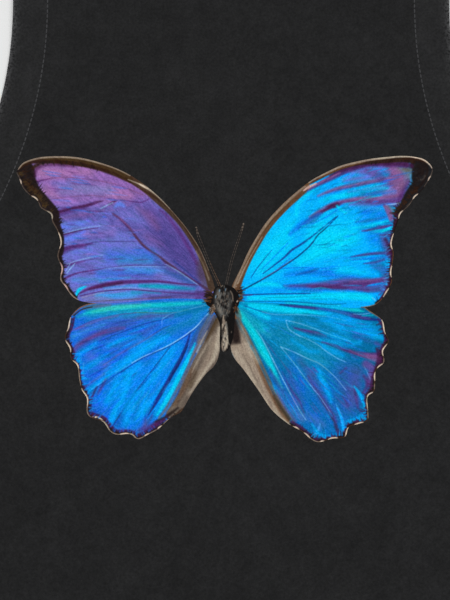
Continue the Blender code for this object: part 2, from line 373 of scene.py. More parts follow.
def extrude_rim(bm, rim, places):
    """Extrudes a chain of boundary vertices and carries the new ones to the given places."""
    edges = [bm.edges.get(pair) for pair in zip(rim, rim[1:])]
    grown = bmesh.ops.extrude_edge_only(bm, edges=edges)["geom"]
    new = {v for v in grown if isinstance(v, bmesh.types.BMVert)}
    found = []
    for v, place in zip(rim, places):
        twin = next(e.other_vert(v) for e in v.link_edges if e.other_vert(v) in new)
        twin.co = place
        found.append(twin)
    return found


def turn_under(bm, rim, outward, inner_rows):
    """Folds a hem: round the rim, then back below the rows of vertices that it lies under."""
    drop = Vector((0, 0, LAYER_STEP))
    radius = LAYER_STEP / 2
    shoulders = [(0.55, 0.14), (1.0, 0.5), (0.55, 0.86)]
    chain = rim
    for out, down in shoulders:
        places = [v.co + radius * out * o.to_3d() - down * drop for v, o in zip(rim, outward)]
        chain = extrude_rim(bm, chain, places)
    chain = extrude_rim(bm, chain, [v.co - drop for v in rim])
    for row in inner_rows:
        chain = extrude_rim(bm, chain, [place - drop for place in row])


def cloth_net():
    levels = row_levels()
    places = np.array([column_places(y) for y in levels])
    rows, columns = places.shape
    ys = np.repeat(np.array(levels)[:, None], columns, 1)
    zs = cloth_middle(places, ys)
    bm = bmesh.new()
    bmesh.ops.create_grid(bm, x_segments=columns - 1, y_segments=rows - 1, size=1)
    net = {}
    for v in bm.verts:
        column = round((v.co.x + 1) / 2 * (columns - 1))
        row = round((v.co.y + 1) / 2 * (rows - 1))
        v.co = (places[row, column], ys[row, column], zs[row, column])
        net[column, row] = v

    hem_columns = len(HEM_SHARES)
    for side, edge_column in ((-1, 0), (1, columns - 1)):
        outward = [Vector((side, 1)) * side_outward(y) for y in levels]
        inner = []
        for i in range(1, hem_columns + 1):
            shift = Vector((side * RAW_EDGE_OVERLAP * (i == hem_columns), 0, 0))
            inner.append([net[edge_column - side * i, r].co - shift for r in range(rows)])
        turn_under(bm, [net[edge_column, r] for r in range(rows)], outward, inner)

    between = range(hem_columns, columns - hem_columns)
    for edge_row, step in ((0, 1), (rows - 1, -1)):
        outward = [Vector((0, -step))] * len(between)
        inner = []
        for i in range(1, END_HEM_ROWS + 1):
            shift = Vector((0, step * RAW_EDGE_OVERLAP * (i == END_HEM_ROWS), 0))
            inner.append([net[c, edge_row + step * i].co + shift for c in between])
        turn_under(bm, [net[c, edge_row] for c in between], outward, inner)
    bmesh.ops.recalc_face_normals(bm, faces=bm.faces)
    return bm


def solid_sheet(bm, name, thickness, *materials):
    """Turns an open net into a smooth-shaded object of an even thickness."""
    mesh = bpy.data.meshes.new(name)
    bm.to_mesh(mesh)
    bm.free()
    mesh.shade_smooth()
    made = link_object(name, mesh, *materials)
    solidify = made.modifiers.new("thickness", "SOLIDIFY")
    solidify.thickness = thickness
    solidify.offset = 0
    solidify.use_even_offset = True
    return made


def points_of(mesh):
    """The mesh's points as columns x, y and z."""
    flat = np.empty(len(mesh.vertices) * 3, np.float32)
    mesh.vertices.foreach_get("co", flat)
    return flat.reshape(-1, 3).astype(float).T


def store(mesh, name, values):
    layer = mesh.attributes.new(name, "FLOAT", "POINT")
    layer.data.foreach_set("value", np.asarray(values, np.float32))


cloth = solid_sheet(cloth_net(), "apron_cloth", CLOTH_THICKNESS)
cloth_x, cloth_y, _ = points_of(cloth.data)
seam_distance = np.minimum.reduce(from_seams(cloth_x, cloth_y))
store(cloth.data, "hem", smooth(0.5 - seam_distance / 0.0012))
edge_distance = np.clip(from_edges(cloth_x, cloth_y), 0, None)
store(cloth.data, "edge_wear", np.exp(-edge_distance / EDGE_WEAR))
print("The cloth's net has", len(cloth.data.polygons), "faces")

# %% [markdown]
# Twill is woven so that each thread passes over two and under one or two of the others, a step further
# along in each row. That gives the fine diagonal ribs of jeans and aprons. The ribs are a wave pattern
# turned to the twill's angle, and a little noise makes them uneven, as spun cotton is. The same pattern
# drives the colour and the bump, and the print reuses it, because ink lies on the same threads.

# %% Twill finish
RIB_PITCH = 0.00062
RIB_ANGLE = math.radians(58)
WAVE_CYCLE = 2 * math.pi / 20  # a band texture repeats after this length at scale 1


def add(tree, kind, sockets=None, **settings):
    """Adds a shader node, with its settings and its socket values."""
    node = tree.nodes.new("ShaderNode" + kind)
    for name, value in settings.items():
        setattr(node, name, value)
    for name, value in (sockets or {}).items():
        if isinstance(value, bpy.types.NodeSocket):
            tree.links.new(value, node.inputs[name])
        else:
            node.inputs[name].default_value = value
    return node


def calculate(tree, operation, first, second):
    return add(tree, "Math", {0: first, 1: second}, operation=operation).outputs[0]


def scaled(tree, value, low, high):
    """Maps a value that runs from 0 to 1 onto low to high."""
    return add(tree, "MapRange", {"Value": value, "To Min": low, "To Max": high}).outputs[0]


def twill_ribs(tree):
    """The height of the twill's ribs, from 0 to 1, and the cotton's cloudiness."""
    place = add(tree, "TexCoord").outputs["Object"]
    turned = add(tree, "Mapping", {"Vector": place, "Rotation": (0, 0, RIB_ANGLE)}).outputs[0]
    bands = {"Vector": turned, "Scale": WAVE_CYCLE / RIB_PITCH, "Distortion": 1.1}
    bands |= {"Detail": 2.0, "Detail Scale": 1.6}
    ribs = add(tree, "TexWave", bands).outputs["Fac"]
    crossing = add(tree, "TexNoise", {"Vector": place, "Scale": 2600.0, "Detail": 1.0}).outputs["Fac"]
    height = calculate(tree, "MULTIPLY", ribs, scaled(tree, crossing, 0.35, 1.3))
    cloudy = {"Vector": place, "Scale": 620.0, "Detail": 3.0, "Roughness": 0.65}
    return height, add(tree, "TexNoise", cloudy).outputs["Fac"], place


def tinted(tree, colour, factor):
    """Multiplies a colour by a number."""
    return add(tree, "VectorMath", {0: colour, 1: factor}, operation="MULTIPLY").outputs[0]


def make_twill():
    material, tree, surface = principled("charcoal_twill", (0.016, 0.016, 0.0165), 0.95, 0.12)
    surface.inputs["Sheen Weight"].default_value = 0.02
    height, cloudy, place = twill_ribs(tree)
    hem = add(tree, "Attribute", attribute_name="hem").outputs["Fac"]
    wear = add(tree, "Attribute", attribute_name="edge_wear").outputs["Fac"]
    light = calculate(tree, "MULTIPLY", scaled(tree, height, 0.80, 1.28), scaled(tree, cloudy, 0.35, 1.75))
    for scale, low, high in ((170.0, 0.70, 1.30), (45.0, 0.65, 1.35), (9.0, 0.78, 1.22)):
        clouds = {"Vector": place, "Scale": scale, "Detail": 3.0, "Roughness": 0.62}
        patches = add(tree, "TexNoise", clouds).outputs["Fac"]
        light = calculate(tree, "MULTIPLY", light, scaled(tree, patches, low, high))
    light = calculate(tree, "MULTIPLY", light, scaled(tree, hem, 1.0, 1.22))
    dots = {"Value": cloudy, "From Min": 0.40, "From Max": 0.56, "To Max": 3.4}
    rubbed = add(tree, "MapRange", dots).outputs[0]
    light = calculate(tree, "ADD", light, calculate(tree, "MULTIPLY", wear, rubbed))
    lint = add(tree, "TexVoronoi", {"Vector": place, "Scale": 160.0}).outputs["Distance"]
    flecks = add(tree, "MapRange", {"Value": lint, "From Min": 0.05, "From Max": 0.02}).outputs[0]
    light = calculate(tree, "ADD", light, calculate(tree, "MULTIPLY", flecks, 0.9))
    tree.links.new(tinted(tree, (0.0141, 0.0141, 0.0144), light), surface.inputs["Base Color"])
    bump = add(tree, "Bump", {"Height": height, "Strength": 0.55, "Distance": 0.00018})
    tree.links.new(bump.outputs[0], surface.inputs["Normal"])
    return material


twill = make_twill()
cloth.data.materials.append(twill)
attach(cloth, "root")
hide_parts("apron_body")

# %% [markdown]
# Each hem is held by one row of straight topstitching in grey thread. A stitch shows as a short bead of
# thread that dives into the cloth at both ends. So a seam is a row of small stretched spheres, laid end
# to end along the stitched line, each turned to follow the line and the rise of the cloth.

# %% Sewing thread
STITCH_PITCH = 0.0034
STITCH_LENGTH = 0.0031
THREAD_WIDTH = 0.00105
THREAD_RISE = 0.00030
STITCH_SEGMENTS = 8
STITCH_RINGS = 6
SEAM_END = 0.002
SEAM_INSET = 0.003
SIDE_SEAM_POINTS = 900


def make_thread():
    material, tree, surface = principled("grey_thread", (0.085, 0.085, 0.088), 0.75, 0.25)
    place = add(tree, "TexCoord").outputs["Object"]
    uneven = add(tree, "TexNoise", {"Vector": place, "Scale": 900.0, "Detail": 2.0}).outputs["Fac"]
    shade = tinted(tree, (0.041, 0.041, 0.043), scaled(tree, uneven, 0.35, 1.65))
    tree.links.new(shade, surface.inputs["Base Color"])
    plies = {"Vector": place, "Scale": WAVE_CYCLE / 0.00035}
    twist = add(tree, "TexWave", plies, bands_direction="DIAGONAL").outputs["Fac"]
    bump = add(tree, "Bump", {"Height": twist, "Strength": 0.5, "Distance": 0.0001})
    tree.links.new(bump.outputs[0], surface.inputs["Normal"])
    return material


thread = make_thread()


def along_line(points, pitch):
    """Middles and directions of the steps of this pitch along a line on the cloth."""
    points = np.asarray(points, float)
    lengths = np.hypot(*np.diff(points, axis=0).T)
    gone = np.concatenate([[0], np.cumsum(lengths)])
    count = max(1, round(gone[-1] / pitch))
    marks = (np.arange(count) + 0.5) * gone[-1] / count
    ahead = marks + 0.4 * pitch
    behind = marks - 0.4 * pitch
    middle, front, back = (
        np.stack([np.interp(at, gone, points[:, k]) for k in (0, 1)], 1)
        for at in (marks, ahead, behind)
    )
    return middle, front - back


def hem_back(x, y):
    """Height of the lower face of a hem's second layer."""
    return cloth_middle(x, y) - LAYER_STEP - CLOTH_THICKNESS / 2


def tape_back(x, y):
    """The lower face of a sewn tape end, which rests on the floor everywhere."""
    return 0.0


def sew(name, lines, height=cloth_top, out=1):
    """A row of stitches along each line, as one object that lies on the cloth, or under it at out -1."""
    bm = bmesh.new()
    for line in lines:
        middles, ways = along_line(line, STITCH_PITCH)
        for (x, y), (dx, dy) in zip(middles, ways):
            step = math.hypot(dx, dy)
            slope = float(height(x + dx / 2, y + dy / 2) - height(x - dx / 2, y - dy / 2))
            turn = Matrix.Rotation(math.atan2(dy, dx), 4, "Z")
            tilt = Matrix.Rotation(-math.atan2(slope, step), 4, "Y")
            size = Matrix.Diagonal((STITCH_LENGTH / 2, THREAD_WIDTH / 2, THREAD_RISE / 2, 1))
            place = Matrix.Translation((x, y, float(height(x, y)) + out * THREAD_RISE * 0.22))
            stitch = place @ turn @ tilt @ size
            bmesh.ops.create_uvsphere(
                bm, u_segments=STITCH_SEGMENTS, v_segments=STITCH_RINGS, radius=1, matrix=stitch
            )
    mesh = bpy.data.meshes.new(name)
    bm.to_mesh(mesh)
    bm.free()
    mesh.shade_smooth()
    seam = link_object(name, mesh, thread)
    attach(seam, "root")
    return seam


def side_seam_line(side, low, high):
    levels = np.linspace(high, low, SIDE_SEAM_POINTS)
    return [(side * hem_line(y), y) for y in levels]


def boxed_cross(left, low, right, high):
    """The square with a cross that holds a sewn tape end."""
    corners = [(left, low), (right, low), (right, high), (left, high), (left, low)]
    return [*zip(corners, corners[1:]), (corners[0], corners[2]), (corners[1], corners[3])]


seams = []
for side, word in ((-1, "left"), (1, "right")):
    line = side_seam_line(side, SKIRT_BOTTOM + SEAM_END, BIB_TOP - SEAM_END)
    seams.append(sew(f"stitching_side_{word}", [line]))
    seams.append(sew(f"stitching_side_{word}_back", [line], hem_back, -1))
    loop_x = side * LOOP_HALF_WIDTH
    half = TAPE_WIDTH / 2 - SEAM_INSET
    low, high = BIB_TOP - SEWN_LENGTH + SEAM_INSET, BIB_TOP - SEAM_INSET
    loop_end = boxed_cross(loop_x - half, low, loop_x + half, high)
    inner, outer = side * (TIE_INNER + SEAM_INSET), side * (WAIST_WIDTH / 2 - SEAM_INSET)
    tie_end = boxed_cross(inner, -TIE_DROP - half, outer, -TIE_DROP + half)
    seams.append(sew(f"stitching_tape_ends_{word}", loop_end + tie_end))
    seams.append(sew(f"stitching_tape_ends_{word}_back", loop_end + tie_end, tape_back, -1))
top_end, bottom_end = BIB_WIDTH / 2 - SEAM_END, WAIST_WIDTH / 2 - SEAM_END
top_seam = [(x, BIB_TOP - TOP_HEM) for x in (-top_end, top_end)]
bottom_seam = [(x, SKIRT_BOTTOM + BOTTOM_HEM) for x in (-bottom_end, bottom_end)]
for word, line in (("top", top_seam), ("bottom", bottom_seam)):
    seams.append(sew(f"stitching_{word}", [line]))
    seams.append(sew(f"stitching_{word}_back", [line], hem_back, -1))
faces = sum(len(seam.data.polygons) for seam in seams)
print("Stitches:", faces // (STITCH_SEGMENTS * STITCH_RINGS))

# %% [markdown]
# The neck loop and the two ties are flat cotton tape. A tape that lies in a curve can't stay flat: its
# outer edge is too short, so the tape leans up on one edge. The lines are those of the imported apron, and
# so is the loop's lean. The two ties differ: where they turn, they lean up on the outer edge here and on
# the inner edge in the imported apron, because the bend is counted in opposite directions.
#
# The tape is a strip of a grid carried along its line, given its thickness by Solidify and soft edges by
# Bevel. Herringbone is twill whose direction flips at every few threads, so the finish folds the tape's
# own cross direction into zigzags.

# %% Tapes
TAPE_STEP = 0.010
FINE_STEP = 0.0025
NECK_LOOP_RISE = 0.190
NECK_LOOP_BANK = math.radians(42)
TIE_BANK = math.radians(38)
TIE_TIGHT_CURVE = 1 / 0.085
END_FOLD = 0.014
RIGHT_TIE_ROUTE = (
    (TIE_INNER, -TIE_DROP), (0.350, -0.020), (0.398, -0.029), (0.438, -0.066),
    (0.454, -0.124), (0.442, -0.188), (0.414, -0.250), (0.396, -0.318),
    (0.404, -0.388), (0.428, -0.454), (0.432, -0.520), (0.406, -0.574),
)
LEFT_TIE_ROUTE = (
    (-TIE_INNER, -TIE_DROP), (-0.350, -0.020), (-0.400, -0.032), (-0.440, -0.076),
    (-0.455, -0.140), (-0.446, -0.210), (-0.420, -0.276), (-0.398, -0.344),
    (-0.392, -0.414), (-0.406, -0.482), (-0.424, -0.540), (-0.430, -0.578),
)


def through(points, steps=12):
    """A soft curve through the points (a Catmull-Rom spline), as an array of places."""
    padded = np.array([points[0], *points, points[-1]], float)
    t = np.linspace(0, 1, steps, endpoint=False)[:, None]
    pieces = []
    for a, b, c, d in zip(padded, padded[1:], padded[2:], padded[3:]):
        bend = (2 * a - 5 * b + 4 * c - d) * t**2 + (3 * b - a - 3 * c + d) * t**3
        pieces.append(0.5 * (2 * b + (c - a) * t + bend))
    return np.concatenate([*pieces, padded[-1:]])


def evenly(points, step):
    points = np.asarray(points, float)
    gone = np.concatenate([[0], np.cumsum(np.hypot(*np.diff(points, axis=0).T))])
    marks = np.linspace(0, gone[-1], max(2, round(gone[-1] / step)) + 1)
    return np.stack([np.interp(marks, gone, points[:, k]) for k in (0, 1)], 1), marks


def headings(line):
    ways = np.concatenate([line[1:2] - line[:1], line[2:] - line[:-2], line[-1:] - line[-2:-1]])
    return ways / np.hypot(*ways.T)[:, None]


def tie_banks(route):
    """The lean of a tie at each coarse step: up on its outer edge in a turn, none where it is straight."""
    line, _ = evenly(route, TAPE_STEP)
    ways = headings(line)
    angles = np.unwrap(np.arctan2(ways[:, 1], ways[:, 0]))
    last = len(line) - 1
    bends = np.array([angles[min(i + 1, last)] - angles[max(i - 1, 0)] for i in range(last + 1)])
    bends = bends / (2 * TAPE_STEP) / TIE_TIGHT_CURVE
    banks = []
    for i in range(last + 1):
        mean = bends[max(i - 3, 0) : i + 4].mean()
        free = smooth((i * TAPE_STEP - 2 * SEWN_LENGTH) / 0.05)
        tip = smooth((last - i) * TAPE_STEP / 0.06)
        banks.append(TIE_BANK * max(-1, min(1, mean)) * free * tip)
    return np.array(banks)


def neck_loop_line():
    turns = np.linspace(0, math.pi, 161)
    arch = np.stack([LOOP_HALF_WIDTH * np.cos(turns), BIB_TOP + NECK_LOOP_RISE * np.sin(turns)], 1)
    sewn = BIB_TOP - SEWN_LENGTH
    return np.concatenate([[(LOOP_HALF_WIDTH, sewn)], arch, [(-LOOP_HALF_WIDTH, sewn)]])


def tape_strip(name, line, banks, marks, lift, material):
    """A flat tape along a line on the surface, leaning by the bank at each point."""
    columns = 8
    bm = bmesh.new()
    bmesh.ops.create_grid(bm, x_segments=columns, y_segments=len(line) - 1, size=1)
    ways = headings(line)
    along = bm.verts.layers.float.new("along")
    across = bm.verts.layers.float.new("across")
    for v in bm.verts:
        i = round((v.co.y + 1) / 2 * (len(line) - 1))
        half = v.co.x * TAPE_WIDTH / 2
        lean = banks[i]
        reach = half * math.cos(lean)
        rest = TAPE_WIDTH / 2 * abs(math.sin(lean)) + TAPE_THICKNESS / 2 * math.cos(lean)
        v[along], v[across] = marks[i], half
        raised = rest + half * math.sin(lean) + lift * math.cos(lean)
        tilt = lift * math.sin(lean)
        v.co = (
            line[i][0] + (reach - tilt) * ways[i][1],
            line[i][1] - (reach - tilt) * ways[i][0],
            raised,
        )
    bmesh.ops.recalc_face_normals(bm, faces=bm.faces)
    tape = solid_sheet(bm, name, TAPE_THICKNESS, material)
    bevel = tape.modifiers.new("soft_edges", "BEVEL")
    bevel.width = 0.0004
    bevel.segments = 2
    bevel.limit_method = "ANGLE"
    bevel.angle_limit = math.radians(50)
    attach(tape, "root")
    return tape


def make_tape_finish():
    material, tree, surface = principled("herringbone_tape", (0.012, 0.012, 0.0125), 0.85, 0.15)
    along = add(tree, "Attribute", attribute_name="along").outputs["Fac"]
    across = add(tree, "Attribute", attribute_name="across").outputs["Fac"]
    zigzag = calculate(tree, "PINGPONG", across, 0.0031)
    slanted = calculate(tree, "ADD", along, calculate(tree, "MULTIPLY", zigzag, 1.4))
    place = add(tree, "CombineXYZ", {"X": slanted, "Y": across}).outputs[0]
    bands = {"Vector": place, "Scale": WAVE_CYCLE / 0.0009, "Distortion": 0.4, "Detail": 1.0}
    ribs = add(tree, "TexWave", bands).outputs["Fac"]
    spot = add(tree, "TexCoord").outputs["Object"]
    cloudy = add(tree, "TexNoise", {"Vector": spot, "Scale": 700.0, "Detail": 3.0}).outputs["Fac"]
    edge = calculate(tree, "ABSOLUTE", across, 0.0)
    selvedge = add(tree, "MapRange", {"Value": edge, "From Min": 0.0112, "From Max": 0.0116}).outputs[0]
    light = calculate(tree, "MULTIPLY", scaled(tree, ribs, 0.65, 1.45), scaled(tree, cloudy, 0.5, 1.5))
    light = calculate(tree, "MULTIPLY", light, scaled(tree, selvedge, 1.0, 0.7))
    tree.links.new(tinted(tree, (0.0125, 0.0125, 0.013), light), surface.inputs["Base Color"])
    bump = add(tree, "Bump", {"Height": ribs, "Strength": 0.6, "Distance": 0.0002})
    tree.links.new(bump.outputs[0], surface.inputs["Normal"])
    return material


tape_finish = make_tape_finish()
loop_line, loop_marks = evenly(neck_loop_line(), FINE_STEP)
loop_rise = smooth((loop_line[:, 1] - BIB_TOP - 0.02) / (NECK_LOOP_RISE - 0.02))
loop = tape_strip("neck_loop_tape", loop_line, -NECK_LOOP_BANK * loop_rise, loop_marks, 0, tape_finish)
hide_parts("neck_loop")

for word, route in (("left", LEFT_TIE_ROUTE), ("right", RIGHT_TIE_ROUTE)):
    fine_route = through(route)
    line, marks = evenly(fine_route, FINE_STEP)
    coarse = tie_banks(fine_route)
    banks = np.interp(marks, np.linspace(0, marks[-1], len(coarse)), coarse)
    tie = tape_strip(f"waist_tie_{word}_tape", line, banks, marks, 0, tape_finish)
    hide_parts(f"waist_tie_{word}")
    last = round(END_FOLD / FINE_STEP) + 1
    lift = TAPE_THICKNESS + 0.0001
    tape_strip(f"tie_end_fold_{word}", line[-last:], banks[-last:], marks[-last:], lift, tape_finish)
print("Tape lengths:", [round(float(t), 3) for t in (loop_marks[-1], marks[-1])], "m")

# %% [markdown]
# The bib carries a print of a blue morpho butterfly with its wings spread. Ink on cloth is only colour,
# so it is a very thin film here that lies on the cloth and follows its height. It is painted as a
# printer's artist would: a base colour, wide soft washes, then brush strokes for folds and veins, and
# last the dark margin with its pale fringe. Each stroke names an ink, its strength, the softness of its
# edge, and the points that the brush passes with its width at each, all in photo pixels.
#
# The strokes were placed over the photographed print. A small program then rounded their points
# and left out those that changed the picture least. The spans in the EDGE tables were worked out by a
# program too, from strokes placed along the outlines.

# %% Inks of the print
INKS = {
    "soot": (30, 22, 21), "dark brown": (48, 28, 18), "olive brown": (66, 48, 27),
    "brown": (96, 64, 42), "orange brown": (138, 84, 46), "taupe": (104, 92, 82),
    "tan": (152, 136, 120), "pale tan": (178, 166, 148), "cream": (226, 206, 184),
    "blush": (205, 168, 160), "rose": (178, 120, 160), "lilac": (138, 100, 170),
    "steel": (122, 124, 184), "periwinkle": (104, 112, 196), "bluebell": (98, 126, 226),
    "violet": (92, 74, 146), "dusk": (76, 68, 138), "plum": (84, 44, 110),
    "damson": (66, 26, 64), "mauve": (128, 84, 136), "navy": (28, 52, 128),
    "royal": (34, 110, 220), "sky": (64, 156, 228), "azure": (6, 172, 252),
    "aqua": (8, 214, 248), "teal": (28, 148, 188), "turquoise": (24, 196, 206),
    "sea green": (70, 196, 176), "deep teal": (8, 108, 160), "ice": (150, 206, 244),
    "storm": (50, 88, 158), "ink blue": (20, 34, 84), "grey mauve": (122, 104, 108),
    "grey": (104, 103, 99), "black": (19, 17, 17),
}

CURVE_STEPS = 8  # points of a drawn outline for each of its own


def linear(share):
    """Turns screen colour from 0 to 1 into the light that a shader works with."""
    return np.where(share <= 0.04045, share / 12.92, ((share + 0.055) / 1.055) ** 2.4)


def brush_line(marks, steps=6):
    """Softens the path of a stroke, with its width as the third column."""
    marks = np.array(marks, float)
    return through(marks, steps) if len(marks) > 2 else marks


def closed_curve(points, steps=6):
    """A soft closed curve through the points."""
    ring = [points[-1], *points, points[0], points[1]]
    return through(ring, steps)[steps : steps * (len(points) + 1)]


def edge_strokes(outline, rows):
    """Strokes along parts of an outline. A row has an ink, a strength, a width and its spans, counted in
    the outline's points."""
    curve = closed_curve(outline, CURVE_STEPS)
    for ink, strength, width, *spans in rows:
        for start, stop in spans:
            part = curve[round(CURVE_STEPS * start) : round(CURVE_STEPS * stop) + 1]
            taper = width * np.sin(np.linspace(0.3, math.pi - 0.3, len(part))) ** 0.5
            yield ink, strength, 0.9, *zip(*part.T, taper)


def scale_strokes(outline, rows):
    """Short strokes that run in from an outline and make a ragged border, as rows of scales do. A row has
    an ink, a strength, a number, a depth, a length, and the first and last place along the outline."""
    curve = closed_curve(outline, CURVE_STEPS)
    rng = np.random.default_rng(7)
    turned = np.sum(curve[:-1, 0] * curve[1:, 1] - curve[1:, 0] * curve[:-1, 1]) < 0
    for ink, strength, count, depth, length, first, last in rows:
        for at in rng.uniform(first, last, count):
            spot = round(CURVE_STEPS * at)
            dx, dy = curve[spot + 1] - curve[spot - 1]
            lean = math.atan2(dx, -dy) + math.pi * turned + rng.normal(0, 0.3)
            way = np.array([math.cos(lean), math.sin(lean)])
            start = curve[spot] + way * depth * rng.uniform(0.7, 1.1)
            stop = start + way * length * rng.uniform(0.3, 1)
            yield ink, strength, 0.9, (*start, 1.3), (*stop, 0.4)


def sheen(outline, hinge, low, high, inks, count):
    """Faint strokes that run away from a hinge, where a wing's pleats catch the light."""
    curve = closed_curve(outline, CURVE_STEPS)
    rng = np.random.default_rng(count)
    for number, start in enumerate(rng.uniform(low, high, (count, 2))):
        way = start - hinge
        stop = start + way / np.hypot(*way) * rng.uniform(5, 24)
        if min(np.hypot(*(curve - end).T).min() for end in (start, stop)) > 9:
            middle = (start + stop) / 2 + rng.normal(0, 0.5, 2)
            yield inks[number % len(inks)], 0.35, 1.2, (*start, 0.6), (*middle, 1.9), (*stop, 0.5)


def brush(px, py, colour, strokes):
    """Paints strokes onto points whose colours are columns from 0 to 255."""
    for ink, strength, softness, *marks in strokes:
        line = brush_line(marks)
        cover = np.zeros(len(px))
        for first in range(0, len(line) - 1, 6):
            span = line[first : first + 7]
            reach = span[:, 2].max() / 2 + softness
            (left, low), (right, high) = span[:, :2].min(0) - reach, span[:, :2].max(0) + reach
            near = np.flatnonzero((px > left) & (px < right) & (py > low) & (py < high))
            x, y = px[near], py[near]
            for (ax, ay, aw), (bx, by, bw) in zip(span, span[1:]):
                run = (bx - ax) ** 2 + (by - ay) ** 2 + 1e-9
                t = np.clip(((x - ax) * (bx - ax) + (y - ay) * (by - ay)) / run, 0, 1)
                away = np.hypot(x - ax - t * (bx - ax), y - ay - t * (by - ay))
                inked = 0.5 + ((aw + (bw - aw) * t) / 2 - away) / softness
                cover[near] = np.maximum(cover[near], inked)
        share = strength * smooth(cover)
        touched = np.flatnonzero(share > 0)
        wet = share[touched, None]
        colour[touched] += wet * (np.array(INKS[ink], float) - colour[touched])


print(len(INKS), "inks are mixed")


# %% [markdown]
# The left forewing leans away from the light, so its scales shine violet and lilac instead of blue. Its
# outline runs along the leading edge to the tip, back along the scalloped margin and the rear edge.

